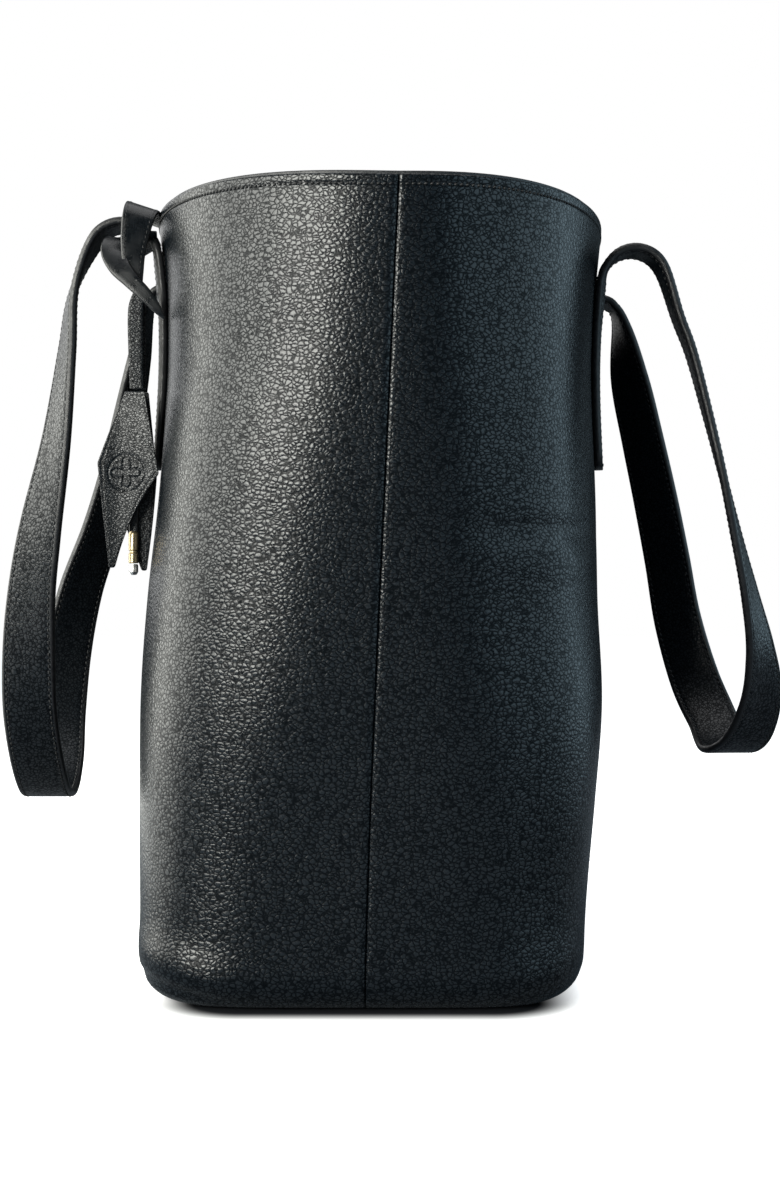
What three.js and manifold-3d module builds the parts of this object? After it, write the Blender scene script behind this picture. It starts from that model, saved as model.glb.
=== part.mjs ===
// A soft leather tote-style diaper bag with two hanging strap handles and a leather charm.
// Millimetres. +X is the long axis, -Y the front (the charm's side), +Y the back, +Z up.
// The origin is the centre of the base, on the surface that the bag stands on.
import * as THREE from "three";
import { mergeVertices } from "three/addons/utils/BufferGeometryUtils.js";
import Module from "manifold-3d";

const wasm = await Module();
wasm.setup();

// ---- Driving dimensions ----

// The bag's plan at a few heights: a rounded rectangle whose corners have an exponent (corner),
// with its seams at y = lean and its front and back faces that far from the seams.
const BODY = {
  z: [0, 30, 80, 120, 165, 210, 260, 300, 338],
  halfLength: [170, 170.8, 172.4, 174, 176.3, 178.6, 181, 183.3, 185.3],
  corner: [6.5, 5.6, 4.5, 3.8, 3.4, 3.1, 2.75, 2.55, 2.35],
  lean: [0, 0.7, 2.3, 4, 6, 8.1, 10.4, 12.2, 14],
  front: [96.5, 98.8, 103, 105.2, 104, 102, 102.8, 105.5, 111.8],
  back: [91.5, 94, 98.6, 100.2, 96.2, 93.5, 91, 91.8, 94.3],
};
const FRONT = -1;
const BACK = 1;
const SEAM_HEIGHT = 330;
const RIM_LIFT = { [FRONT]: 7, [BACK]: 1.5 }; // how far mid-panel stands above the seams
const BOTTOM_RADIUS = 14;
const BOTTOM_TURN = THREE.MathUtils.degToRad(76); // how far a panel wraps under the bag
const GAP = 0.3;

const LEATHER = 1.8;
const FACING_THICK = 1.2;
const FACING_DEPTH = 38;
const FACING_PROUD = 1.5;
const LINING_THICK = 0.8;
const LINING_OFFSET = 5.5;
const LINING_DROP = 45; // the height over which the lining eases from the facing to its offset
const BOARD_THICK = 3;
const BASE_INSET = 11.7; // from the bag's outline to the base panel's edge
const BOARD_INSET = 13.5;
const BASE_LINING_INSET = 13.2;
const TAPE_HALF_WIDTH = 6;
const TAPE_SPAN = [24, 236];

const STRAP_WIDTH = 25;
const STRAP_THICK = 3.8;
const STRAP_X = 68;
const STRAP_WALL_GAP = 0.6;
const TAB_BOTTOM = 222;

const POCKET_PLANE = 88.5; // y of the flat panel of back lining that carries the zip
const ZIP_Z = 236;
const ZIP_LENGTH = 176;
const TOOTH_PITCH = 4;

const BOTTLE_X = 78;
const BOTTLE_HALF_WIDTH = 45;
const BOTTLE_DEPTH = 30;
const BOTTLE_BOTTOM = 32;
const BOTTLE_TOP = 150;
const POUCH_GAP = 1.2;

const SNAP_Z = 303;
const CHARM_X = 88.5;
const CHARM_Y = -101.5;

// ---- Finishes ----

function finish(color, roughness, metalness = 0) {
  return new THREE.MeshStandardMaterial({ color, roughness, metalness });
}
const grainLeather = finish(0x17191d, 0.5);
const plainLeather = finish(0x0e0f12, 0.45);
const liningCloth = finish(0x3c4452, 0.9);
const webbing = finish(0x22262e, 0.85);
const board = finish(0x6b6254, 0.9);
const elastic = finish(0x2a303b, 0.8);
const brass = finish(0xb08a4a, 0.3, 1);
const nickel = finish(0xc4c6c9, 0.25, 1);

const bag = new THREE.Group();

function addMesh(name, geometry, material) {
  const mesh = new THREE.Mesh(geometry, material);
  mesh.name = name;
  bag.add(mesh);
  return mesh;
}

// ---- Curves and closed surfaces ----

// A smooth curve through (xs, ys), with slopes taken from the neighbouring points.
function spline(xs, ys, x) {
  const last = xs.length - 1;
  let i = 0;
  while (i < last - 1 && x > xs[i + 1]) i += 1;
  const slope = (k) => {
    const a = Math.max(0, k - 1);
    const b = Math.min(last, k + 1);
    return (ys[b] - ys[a]) / (xs[b] - xs[a]);
  };
  const h = xs[i + 1] - xs[i];
  const t = (x - xs[i]) / h;
  const s = 1 - t;
  const ends = s * s * (1 + 2 * t) * ys[i] + t * t * (3 - 2 * t) * ys[i + 1];
  return ends + s * s * t * h * slope(i) - t * t * s * h * slope(i + 1);
}

function smoothstep(from, to, x) {
  return THREE.MathUtils.smoothstep(x, from, to);
}

function body(key, z) {
  return spline(BODY.z, BODY[key], z);
}

function signedVolume(points, faces) {
  const cross = new THREE.Vector3();
  return faces.reduce((sum, [a, b, c]) => {
    cross.crossVectors(points[b], points[c]);
    return sum + points[a].dot(cross) / 6;
  }, 0);
}

// Closed geometry from points and triangles, turned to face outwards.
function closedGeometry(points, faces) {
  const flip = signedVolume(points, faces) < 0;
  const index = faces.flatMap(([a, b, c]) => (flip ? [a, c, b] : [a, b, c]));
  const geometry = new THREE.BufferGeometry();
  geometry.setFromPoints(points);
  geometry.setIndex(index);
  geometry.computeVertexNormals();
  return geometry;
}

// A sheet with thickness: outer(u, v) and inner(u, v) are its two faces, for u and v from 0 to 1.
function sheetSolid(outer, inner, us, vs) {
  const points = [];
  const faces = [];
  for (const face of [outer, inner]) {
    for (const v of vs) {
      for (const u of us) points.push(face(u, v));
    }
  }
  const wide = us.length;
  const layer = wide * vs.length;
  const quad = (a, b, c, d) => faces.push([a, b, c], [a, c, d]);
  for (let j = 0; j < vs.length - 1; j += 1) {
    for (let i = 0; i < wide - 1; i += 1) {
      const k = j * wide + i;
      quad(k, k + 1, k + wide + 1, k + wide);
      quad(layer + k, layer + k + wide, layer + k + wide + 1, layer + k + 1);
    }
    for (const [i, turned] of [[0, false], [wide - 1, true]]) {
      const k = j * wide + i;
      const corners = [k, k + wide, layer + k + wide, layer + k];
      quad(...(turned ? corners.reverse() : corners));
    }
  }
  for (const [j, turned] of [[0, true], [vs.length - 1, false]]) {
    for (let i = 0; i < wide - 1; i += 1) {
      const k = j * wide + i;
      const corners = [k, k + 1, layer + k + 1, layer + k];
      quad(...(turned ? corners.reverse() : corners));
    }
  }
  return closedGeometry(points, faces);
}

// A ribbon whose section is the same list of corners, in the same order, at each station.
function ribbonSolid(sections, isRing = false) {
  const n = sections[0].length;
  const points = sections.flat();
  const faces = [];
  const rings = sections.length;
  for (let j = 0; j < (isRing ? rings : rings - 1); j += 1) {
    for (let i = 0; i < n; i += 1) {
      const a = j * n + i;
      const b = j * n + ((i + 1) % n);
      const c = ((j + 1) % rings) * n + ((i + 1) % n);
      const d = ((j + 1) % rings) * n + i;
      faces.push([a, b, c], [a, c, d]);
    }
  }
  if (!isRing) {
    const end = (rings - 1) * n;
    for (let i = 1; i < n - 1; i += 1) {
      faces.push([0, i + 1, i], [end, end + i, end + i + 1]);
    }
  }
  return closedGeometry(points, faces);
}

function steps(count, from = 0, to = 1) {
  return Array.from({ length: count + 1 }, (_, i) => from + ((to - from) * i) / count);
}

function toManifold(geometry) {
  const bare = geometry.clone();
  bare.deleteAttribute("normal");
  bare.deleteAttribute("uv");
  const merged = mergeVertices(bare, 1e-4);
  return new wasm.Manifold(
    new wasm.Mesh({
      numProp: 3,
      vertProperties: new Float32Array(merged.attributes.position.array),
      triVerts: new Uint32Array(merged.index.array),
    }),
  );
}

function fromManifold(solid) {
  const mesh = solid.getMesh();
  const geometry = new THREE.BufferGeometry();
  geometry.setAttribute("position", new THREE.BufferAttribute(mesh.vertProperties, 3));
  geometry.setIndex(new THREE.BufferAttribute(mesh.triVerts, 1));
  geometry.computeVertexNormals();
  return geometry;
}

function block(x0, x1, y0, y1, z0, z1) {
  const geometry = new THREE.BoxGeometry(x1 - x0, y1 - y0, z1 - z0);
  return geometry.translate((x0 + x1) / 2, (y0 + y1) / 2, (z0 + z1) / 2);
}

// ---- The bag's walls ----

// A point of the wall at a height, inset from its outer face. turn runs from 0 at the +X seam
// to pi at the -X seam.
function wallPoint(side, turn, z, inset) {
  const power = body("corner", z);
  const c = Math.cos(turn);
  const s = Math.sin(turn);
  const size = (Math.abs(c) ** power + s ** power) ** (1 / power);
  const width = body(side === FRONT ? "front" : "back", z);
  return new THREE.Vector3(
    ((body("halfLength", z) - inset) * c) / size,
    body("lean", z) + (side * (width - inset) * s) / size,
    z,
  );
}

// The wall's y where it crosses a given x.
function wallY(side, x, z, inset) {
  const power = body("corner", z);
  const width = body(side === FRONT ? "front" : "back", z) - inset;
  const along = Math.abs(x / (body("halfLength", z) - inset));
  return body("lean", z) + side * width * (1 - along ** power) ** (1 / power);
}

function rimHeight(side, turn) {
  return SEAM_HEIGHT + RIM_LIFT[side] * Math.sin(turn) ** 1.5;
}

// Rows below zero are on the rounded bottom edge, where they are minus the turn under the bag.
// Rows from 0 to 1 climb from that edge to the rim.
function wallAtRow(side, turn, row, offset, top) {
  if (row < 0) {
    const radius = BOTTOM_RADIUS - offset;
    const z = BOTTOM_RADIUS - radius * Math.sin(-row);
    return wallPoint(side, turn, z, BOTTOM_RADIUS - radius * Math.cos(-row));
  }
  return wallPoint(side, turn, BOTTOM_RADIUS + (top - BOTTOM_RADIUS) * row, offset);
}

const SEAM_TURN = 0.0016; // leaves each panel just short of the seam's middle
const AROUND = steps(26, SEAM_TURN, Math.PI - SEAM_TURN);
const UP = [...steps(3, -BOTTOM_TURN, -BOTTOM_TURN / 4), ...steps(10)];

function makePanel(side) {
  const face = (offset) => (turn, row) =>
    wallAtRow(side, turn, row, offset, rimHeight(side, turn));
  return sheetSolid(face(0), face(LEATHER), AROUND, UP);
}

// The band of leather that finishes the inside of the rim.
function makeFacing(side) {
  const outer = LEATHER + GAP;
  const face = (offset) => (turn, row) => {
    const rim = rimHeight(side, turn);
    const z = rim - FACING_DEPTH + (FACING_DEPTH + FACING_PROUD) * row;
    return wallPoint(side, turn, z, offset);
  };
  return sheetSolid(face(outer), face(outer + FACING_THICK), AROUND, steps(2));
}

// The lining hangs from the facing, close to the leather there and looser below it.
function liningOffset(z, top) {
  return LEATHER + GAP + (LINING_OFFSET - LEATHER - GAP) * smoothstep(0, LINING_DROP, top - z);
}

function makeLining(side, shape = (point) => point) {
  const face = (extra) => (turn, row) => {
    const top = rimHeight(side, turn) - FACING_DEPTH - GAP;
    if (row < 0) return wallAtRow(side, turn, row, LINING_OFFSET + extra, top);
    const z = BOTTOM_RADIUS + (top - BOTTOM_RADIUS) * row;
    const point = wallPoint(side, turn, z, liningOffset(z, top) + extra);
    return shape(point, extra);
  };
  return sheetSolid(face(0), face(LINING_THICK), AROUND, UP);
}

// The zip pocket holds the middle of the back lining flat.
function flattenForZip(point, extra) {
  const across = 1 - smoothstep(98, 135, Math.abs(point.x));
  const up = smoothstep(60, 98, point.z) * (1 - smoothstep(266, 290, point.z));
  const flat = POCKET_PLANE + LINING_THICK - extra;
  point.y = THREE.MathUtils.lerp(point.y, flat, across * up);
  return point;
}

// A flat plate with the bag's outline at a height, inset from it, each face a fan about its middle.
function makeBasePlate(inset, z, thickness) {
  const outline = [];
  for (const [side, from, to] of [[BACK, 0, Math.PI], [FRONT, Math.PI, 0]]) {
    for (const turn of steps(26, from, to).slice(0, -1)) {
      outline.push(wallPoint(side, turn, z, inset));
    }
  }
  const count = outline.length;
  const raised = outline.map((point) => point.clone().setZ(z + thickness));
  const middles = [new THREE.Vector3(0, 0, z), new THREE.Vector3(0, 0, z + thickness)];
  const faces = [];
  for (let i = 0; i < count; i += 1) {
    const next = (i + 1) % count;
    faces.push([i, next, count + next], [i, count + next, count + i]);
    faces.push([2 * count, next, i], [2 * count + 1, count + i, count + next]);
  }
  return closedGeometry([...outline, ...raised, ...middles], faces);
}

// The tape behind each side seam.
function makeSeamTape(end) {
  const outer = LEATHER + GAP + 0.5;
  const face = (inset) => (u, z) => {
    const seam = end * (body("halfLength", z) - inset);
    return new THREE.Vector3(seam, body("lean", z) + u * TAPE_HALF_WIDTH, z);
  };
  return sheetSolid(face(outer), face(outer + 1), [-1, 1], steps(8, ...TAPE_SPAN));
}

addMesh("front_panel", makePanel(FRONT), grainLeather);
addMesh("back_panel", makePanel(BACK), grainLeather);
addMesh("base_panel", makeBasePlate(BASE_INSET, 0, LEATHER), grainLeather);
addMesh("base_board", makeBasePlate(BOARD_INSET, LEATHER + GAP, BOARD_THICK), board);
addMesh("base_lining", makeBasePlate(BASE_LINING_INSET, LINING_OFFSET, LINING_THICK), liningCloth);
addMesh("front_facing", makeFacing(FRONT), plainLeather);
addMesh("back_facing", makeFacing(BACK), plainLeather);
addMesh("near_seam_tape", makeSeamTape(1), webbing);
addMesh("far_seam_tape", makeSeamTape(-1), webbing);

const frontLining = makeLining(FRONT);
addMesh("front_lining", frontLining, liningCloth);

const zipWindow = block(-ZIP_LENGTH / 2 - 4, ZIP_LENGTH / 2 + 4, 80, 96, ZIP_Z - 8, ZIP_Z + 8);
const backLining = toManifold(makeLining(BACK, flattenForZip)).subtract(toManifold(zipWindow));
addMesh("back_lining", fromManifold(backLining), liningCloth);

// ---- Handles ----

// A handle's route is a list of [x, y, z, width angle]: the angle turns the strap's width from
// +X (0) to +Y (90) to -X (180), which is how its hanging legs twist to lie flat in the loop.
// The route climbs the wall, arches over, hangs down to the loop's bottom and comes back.
const HANDLES = {
  front: {
    side: FRONT,
    near: { x: STRAP_X, base: 316, radius: 15, wallAngle: 7, archAngle: 0 },
    far: { x: -STRAP_X, base: 312, radius: 10.5, wallAngle: 173, archAngle: 180 },
    hang: [
      [68, -131.1, 302, 12], [68, -134.2, 275.4, 22], [68, -139.1, 235.3, 36],
      [66, -146.6, 195.3, 55], [62, -150.9, 168.5, 64], [56, -153.3, 141.4, 78],
      [46, -154.6, 113.8, 86], [30, -154.1, 89.8, 90], [8, -153.6, 73.8, 90],
      [-16, -154.2, 72.6, 91], [-40, -155.2, 86.8, 97], [-54, -156.3, 108.5, 105],
      [-62, -154.1, 138.6, 117], [-66, -148.1, 169.1, 128], [-68, -137.7, 199.8, 137],
      [-68, -129.5, 230.5, 146], [-68, -123.3, 261.2, 155], [-68, -118.3, 288, 165],
    ],
  },
  back: {
    side: BACK,
    near: { x: STRAP_X, base: 305.5, radius: 14, wallAngle: 173, archAngle: 180 },
    far: { x: -STRAP_X, base: 305.5, radius: 11.5, wallAngle: 7, archAngle: 0 },
    hang: [
      [68, 138.3, 288.8, 177], [68, 143.4, 275.4, 176], [68, 150.7, 248.7, 174],
      [68, 157.4, 221.9, 171], [64, 164.1, 195.3, 166], [58, 171.2, 168.5, 159],
      [46, 178.1, 141.2, 147], [30, 181.4, 117.6, 128], [8, 178.2, 97.5, 106],
      [-14, 172.3, 92.2, 92], [-36, 169.9, 104.5, 80], [-52, 163.4, 123.7, 70],
      [-62, 156, 153.8, 62], [-66, 151.2, 184.4, 57], [-68, 145.5, 215.2, 54],
      [-68, 138.9, 245.9, 49], [-68, 132.2, 276.6, 40],
    ],
  },
};

// The sewn end and the arch of one leg, from the bottom of the sewn end outwards.
function legStart({ x, base, radius, wallAngle, archAngle }, side) {
  const off = STRAP_WALL_GAP + STRAP_THICK / 2;
  const points = steps(4, TAB_BOTTOM, base).map((z) => {
    const y = wallY(side, x, z, 0) + side * off;
    return [x, y, z, wallAngle];
  });
  const startY = points[points.length - 1][1];
  for (const degrees of [30, 60, 90, 120, 150]) {
    const turn = THREE.MathUtils.degToRad(degrees);
    const y = startY + side * radius * (1 - Math.cos(turn));
    points.push([x, y, base + radius * Math.sin(turn), archAngle]);
  }
  return points;
}

function handleRoute({ side, near, far, hang }) {
  return [...legStart(near, side), ...hang, ...legStart(far, side).reverse()];
}

function makeCurve(route) {
  const points = route.map(([x, y, z]) => new THREE.Vector3(x, y, z));
  const curve = new THREE.CatmullRomCurve3(points, false, "centripetal");
  curve.arcLengthDivisions = 600;
  return curve;
}

// The strap's place, face normal and width direction, a share of the way along its length.
function strapFrame(curve, route, share) {
  const t = curve.getUtoTmapping(share);
  const point = curve.getPoint(t);
  const along = curve.getTangent(t);
  const knots = route.map((_, i) => i);
  const angles = route.map((entry) => entry[3]);
  const angle = THREE.MathUtils.degToRad(spline(knots, angles, t * (route.length - 1)));
  const across = new THREE.Vector3(Math.cos(angle), Math.sin(angle), 0);
  const normal = along.clone().cross(across).normalize();
  const width = normal.clone().cross(along).normalize();
  return { point, normal, width };
}

// The share of the length at which a leg has turned by some angle from straight up.
function shareAtTurn(curve, from, to, degrees) {
  const target = Math.cos(THREE.MathUtils.degToRad(degrees));
  const direction = Math.sign(to - from);
  let [low, high] = [from, to];
  for (let i = 0; i < 40; i += 1) {
    const middle = (low + high) / 2;
    if (curve.getTangentAt(middle).z * direction > target) low = middle;
    else high = middle;
  }
  return (low + high) / 2;
}

// A stretch of strap between two shares, from one height in its thickness to another.
function strapSolid(curve, route, [from, to], count, low, high) {
  const half = STRAP_WIDTH / 2;
  const sections = steps(count, from, to).map((share) => {
    const { point, normal, width } = strapFrame(curve, route, share);
    return [[-half, low], [half, low], [half, high], [-half, high]].map(([w, n]) =>
      point.clone().addScaledVector(width, w).addScaledVector(normal, n),
    );
  });
  return ribbonSolid(sections);
}

const TAB_TURN = 44;
const BEND_TURNS = [47, 133];
const LEG_TURN = 136;
const ARCH_ENDS_BY = 0.25; // each arch lies within this share of the strap's length

for (const [name, handle] of Object.entries(HANDLES)) {
  const route = handleRoute(handle);
  const curve = makeCurve(route);
  const near = (degrees) => shareAtTurn(curve, 0, ARCH_ENDS_BY, degrees);
  const far = (degrees) => shareAtTurn(curve, 1, 1 - ARCH_ENDS_BY, degrees);
  const half = STRAP_THICK / 2;
  const solid = (span, count, low = -half, high = half) =>
    strapSolid(curve, route, span, count, low, high);
  addMesh(`${name}_tab_near`, solid([0, near(TAB_TURN)], 12), grainLeather);
  addMesh(`${name}_tab_far`, solid([far(TAB_TURN), 1], 12), grainLeather);
  addMesh(`${name}_arch_near`, solid(BEND_TURNS.map(near), 6), grainLeather);
  addMesh(`${name}_arch_far`, solid(BEND_TURNS.map(far), 6), grainLeather);
  const loop = [near(LEG_TURN), far(LEG_TURN)];
  addMesh(`${name}_handle_outer`, solid(loop, 46, GAP / 2, half), grainLeather);
  addMesh(`${name}_handle_lining`, solid(loop, 46, -GAP / 2, -half), plainLeather);
}

// ---- The charm, hitched round the near leg of the front handle ----

// A strip with a rectangular section, through [x, y, z, width] points, facing +X.
function stripSolid(points, thickness) {
  const sections = points.map(([x, y, z, width]) =>
    [[-1, -1], [1, -1], [1, 1], [-1, 1]].map(
      ([w, n]) => new THREE.Vector3(x + (n * thickness) / 2, y + (w * width) / 2, z),
    ),
  );
  return ribbonSolid(sections);
}

const HITCH_TURN = THREE.MathUtils.degToRad(66);
const HITCH_WIDTH = 10;
const HITCH_THICK = 1.5;
const HITCH_CLEAR = 1.6;
const HANG_TOP = 300;
const LEAF_TOP = 254.7;

// The band round the strap, square to it where the arch begins to level out.
function makeHitchBand() {
  const { x, base, radius } = HANDLES.front.near;
  const off = STRAP_WALL_GAP + STRAP_THICK / 2;
  const startY = wallY(FRONT, x, base, 0) - off;
  const along = new THREE.Vector3(0, -Math.sin(HITCH_TURN), Math.cos(HITCH_TURN));
  const out = new THREE.Vector3(0, Math.cos(HITCH_TURN), Math.sin(HITCH_TURN));
  const centre = new THREE.Vector3(
    x,
    startY - radius * (1 - Math.cos(HITCH_TURN)),
    base + radius * Math.sin(HITCH_TURN),
  );
  const sections = steps(24).slice(0, -1).map((share) => {
    const turn = share * 2 * Math.PI;
    return [[-1, 0], [1, 0], [1, 1], [-1, 1]].map(([w, n]) => {
      const reach = HITCH_CLEAR + n * HITCH_THICK;
      const c = Math.cos(turn);
      const s = Math.sin(turn);
      const square = (c ** 6 + s ** 6) ** (1 / 6);
      return centre.clone()
        .addScaledVector(along, (w * HITCH_WIDTH) / 2)
        .add(new THREE.Vector3(((STRAP_WIDTH / 2 + reach) * c) / square, 0, 0))
        .addScaledVector(out, ((STRAP_THICK / 2 + reach) * s) / square);
    });
  });
  return ribbonSolid(sections, true);
}

const hitchDrop = stripSolid(
  [[83.2, -102.6, 330, 9], [84.6, -102.4, 322, 8.5], [87, -101.8, 310, 7.5],
    [CHARM_X, CHARM_Y, HANG_TOP + GAP, 6.5]],
  HITCH_THICK,
);
const hitch = toManifold(makeHitchBand()).add(toManifold(hitchDrop));
addMesh("charm_hitch", fromManifold(hitch), plainLeather);

const hangingStrap = stripSolid(
  [[CHARM_X, CHARM_Y, HANG_TOP, 6.5], [CHARM_X, CHARM_Y, 280, 6.2],
    [CHARM_X, -101.3, LEAF_TOP + GAP, 6.5]],
  3,
);
addMesh("charm_strap", hangingStrap, plainLeather);

// A kite-shaped leaf in the YZ plane, its outline given as [y, z], extruded towards +X.
function makeLeaf(outline, x, thickness) {
  const shape = new THREE.Shape();
  shape.moveTo(...outline.top[0]);
  shape.lineTo(...outline.top[1]);
  shape.lineTo(...outline.right);
  shape.quadraticCurveTo(...outline.waist, ...outline.tip[0]);
  shape.lineTo(...outline.tip[1]);
  shape.lineTo(...outline.left);
  shape.closePath();
  const options = { depth: thickness, bevelEnabled: false, curveSegments: 8 };
  const geometry = new THREE.ExtrudeGeometry(shape, options);
  const turn = new THREE.Matrix4().makeBasis(
    new THREE.Vector3(0, 1, 0),
    new THREE.Vector3(0, 0, 1),
    new THREE.Vector3(1, 0, 0),
  );
  return geometry.applyMatrix4(turn).translate(x, 0, 0);
}

const LEAF_THICK = 1.6;
const frontLeaf = {
  top: [[-105.2, LEAF_TOP], [-97.2, LEAF_TOP]],
  right: [-90.3, 219],
  waist: [-103, 202],
  tip: [[-109.6, 178], [-112, 178]],
  left: [-117, 223.7],
};
const backLeaf = {
  top: [[-105.2, LEAF_TOP], [-96.4, LEAF_TOP]],
  right: [-91, 217],
  waist: [-94.4, 200],
  tip: [[-96.6, 177], [-99, 177]],
  left: [-115, 222],
};
addMesh("charm_leaf_front", makeLeaf(frontLeaf, CHARM_X + 2.5, LEAF_THICK), grainLeather);
addMesh("charm_leaf_back", makeLeaf(backLeaf, CHARM_X - 2.5 - LEAF_THICK, LEAF_THICK), grainLeather);

const TONGUE_TOP = 252;
const FERRULE_TOP = 194;
const FERRULE_BOTTOM = 180;
const tongue = stripSolid(
  [[CHARM_X, CHARM_Y, FERRULE_TOP + GAP, 4], [CHARM_X, CHARM_Y, 225, 5.5],
    [CHARM_X, -101.4, TONGUE_TOP, 6]],
  1.6,
);
addMesh("charm_tongue", tongue, plainLeather);

// Turned pieces on the charm's vertical axis: profiles are [radius, height] pairs.
function makeTurned(profile, segments = 20) {
  const points = profile.map(([r, z]) => new THREE.Vector2(r, z));
  const geometry = new THREE.LatheGeometry(points, segments);
  return geometry.rotateX(Math.PI / 2);
}

const ferruleHeight = FERRULE_TOP - FERRULE_BOTTOM;
const ferrule = makeTurned([
  [0, 0], [2.2, 0], [2.2, 4.4], [1.8, 4.8], [1.8, 5.6], [2.2, 6], [2.2, ferruleHeight - 1],
  [1.6, ferruleHeight], [0, ferruleHeight],
]);
addMesh("charm_ferrule", ferrule.translate(CHARM_X, -102, FERRULE_BOTTOM), brass);
const TIP_HEIGHT = 5;
const tip = makeTurned([[0, 0], [1.4, 0], [2, 1], [2, 4], [1.6, TIP_HEIGHT], [0, TIP_HEIGHT]], 8);
addMesh("charm_tip", tip.translate(CHARM_X, -102, FERRULE_BOTTOM - GAP - TIP_HEIGHT), nickel);

// ---- Zip pocket in the back lining ----

const TAPE_Y = POCKET_PLANE + LINING_THICK + GAP; // the tapes lie behind the lining
const TAPE_THICK = 0.8;
const TEETH_Y = TAPE_Y - 0.7;
const TEETH_THICK = 1.6;
const FRAME_Y = POCKET_PLANE - GAP;
const FRAME_THICK = 1.4;

function makeZipFrame() {
  const outerX = ZIP_LENGTH / 2 + 9;
  const innerX = ZIP_LENGTH / 2;
  const y0 = FRAME_Y - FRAME_THICK;
  const whole = toManifold(block(-outerX, outerX, y0, FRAME_Y, ZIP_Z - 13, ZIP_Z + 13));
  const hole = toManifold(block(-innerX, innerX, y0 - 1, FRAME_Y + 1, ZIP_Z - 6.5, ZIP_Z + 6.5));
  return fromManifold(whole.subtract(hole));
}

function makeTape(up) {
  const half = ZIP_LENGTH / 2 + 6;
  const [z0, z1] = [ZIP_Z + up * 3.1, ZIP_Z + up * 14].sort((a, b) => a - b);
  return block(-half, half, TAPE_Y, TAPE_Y + TAPE_THICK, z0, z1);
}

// One side of the zip: a cord with square teeth that stand between the other side's teeth.
function makeTeeth(up) {
  const shape = new THREE.Shape();
  const start = -ZIP_LENGTH / 2 + 6 + (up > 0 ? TOOTH_PITCH / 2 : 0);
  const end = ZIP_LENGTH / 2 - 8;
  const tooth = TOOTH_PITCH * 0.42;
  const root = up * 1.4;
  const crest = up * -0.9;
  shape.moveTo(start, up * 2.8);
  shape.lineTo(start, crest);
  shape.lineTo(start + tooth, crest);
  shape.lineTo(start + tooth, root);
  for (let x = start + TOOTH_PITCH; x < end; x += TOOTH_PITCH) {
    shape.lineTo(x, root);
    shape.lineTo(x, crest);
    shape.lineTo(x + tooth, crest);
    shape.lineTo(x + tooth, root);
  }
  shape.lineTo(end + TOOTH_PITCH, root);
  shape.lineTo(end + TOOTH_PITCH, up * 2.8);
  shape.closePath();
  const options = { depth: TEETH_THICK, bevelEnabled: false };
  const geometry = new THREE.ExtrudeGeometry(shape, options);
  return geometry.rotateX(Math.PI / 2).translate(0, TEETH_Y + TEETH_THICK, ZIP_Z);
}

function makePocketBag() {
  const half = 93;
  const y0 = TAPE_Y + TAPE_THICK + GAP;
  const [wall, space] = [0.8, 0.8];
  const y1 = y0 + 2 * wall + space;
  const [bottom, frontTop, backTop] = [118, ZIP_Z - 14.5, ZIP_Z + 16];
  const whole = toManifold(block(-half, half, y0, y1, bottom, backTop));
  const inside = block(-half + wall, half - wall, y0 + wall, y1 - wall, bottom + wall, backTop + 1);
  const mouth = block(-half - 1, half + 1, y0 - 1, y0 + wall + 0.1, frontTop, backTop + 1);
  return fromManifold(whole.subtract(toManifold(inside)).subtract(toManifold(mouth)));
}

addMesh("zip_frame", makeZipFrame(), plainLeather);
addMesh("zip_tape_upper", makeTape(1), webbing);
addMesh("zip_tape_lower", makeTape(-1), webbing);
addMesh("zip_teeth_upper", makeTeeth(1), brass);
addMesh("zip_teeth_lower", makeTeeth(-1), brass);
addMesh("zip_pocket_bag", makePocketBag(), liningCloth);

function makeStop(x) {
  return block(x - 1.2, x + 1.2, TEETH_Y, TAPE_Y - GAP, ZIP_Z - 3.6, ZIP_Z + 3.6);
}
addMesh("zip_stop_near", makeStop(ZIP_LENGTH / 2 - 1.8), brass);
addMesh("zip_stop_far", makeStop(-ZIP_LENGTH / 2 + 3), brass);

// The slider's front shell: a plate with two rails beside the teeth, and a bridge for the pull.
const SLIDER_X = ZIP_LENGTH / 2 - 14;
const SLIDER_LENGTH = 9;
function makeSlider() {
  const [x0, x1] = [SLIDER_X - SLIDER_LENGTH / 2, SLIDER_X + SLIDER_LENGTH / 2];
  const plateBack = TEETH_Y - GAP;
  const plateFront = plateBack - 1.2;
  const bridgeFront = plateFront - 4;
  const railBack = TAPE_Y - GAP;
  const parts = [
    block(x0, x1, plateFront, plateBack, ZIP_Z - 4.6, ZIP_Z + 4.6),
    block(x0, x1, plateFront, railBack, ZIP_Z + 3.3, ZIP_Z + 4.6),
    block(x0, x1, plateFront, railBack, ZIP_Z - 4.6, ZIP_Z - 3.3),
    block(SLIDER_X - 1, SLIDER_X + 1, bridgeFront, plateFront + 0.2, ZIP_Z + 2.2, ZIP_Z + 4.2),
    block(SLIDER_X - 1, SLIDER_X + 1, bridgeFront, plateFront + 0.2, ZIP_Z - 4.2, ZIP_Z - 2.2),
    block(SLIDER_X - 1, SLIDER_X + 1, bridgeFront, bridgeFront + 1.2, ZIP_Z - 4.2, ZIP_Z + 4.2),
  ];
  const [first, ...others] = parts.map(toManifold);
  return fromManifold(others.reduce((sum, part) => sum.add(part), first));
}
addMesh("zip_slider", makeSlider(), brass);

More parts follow.
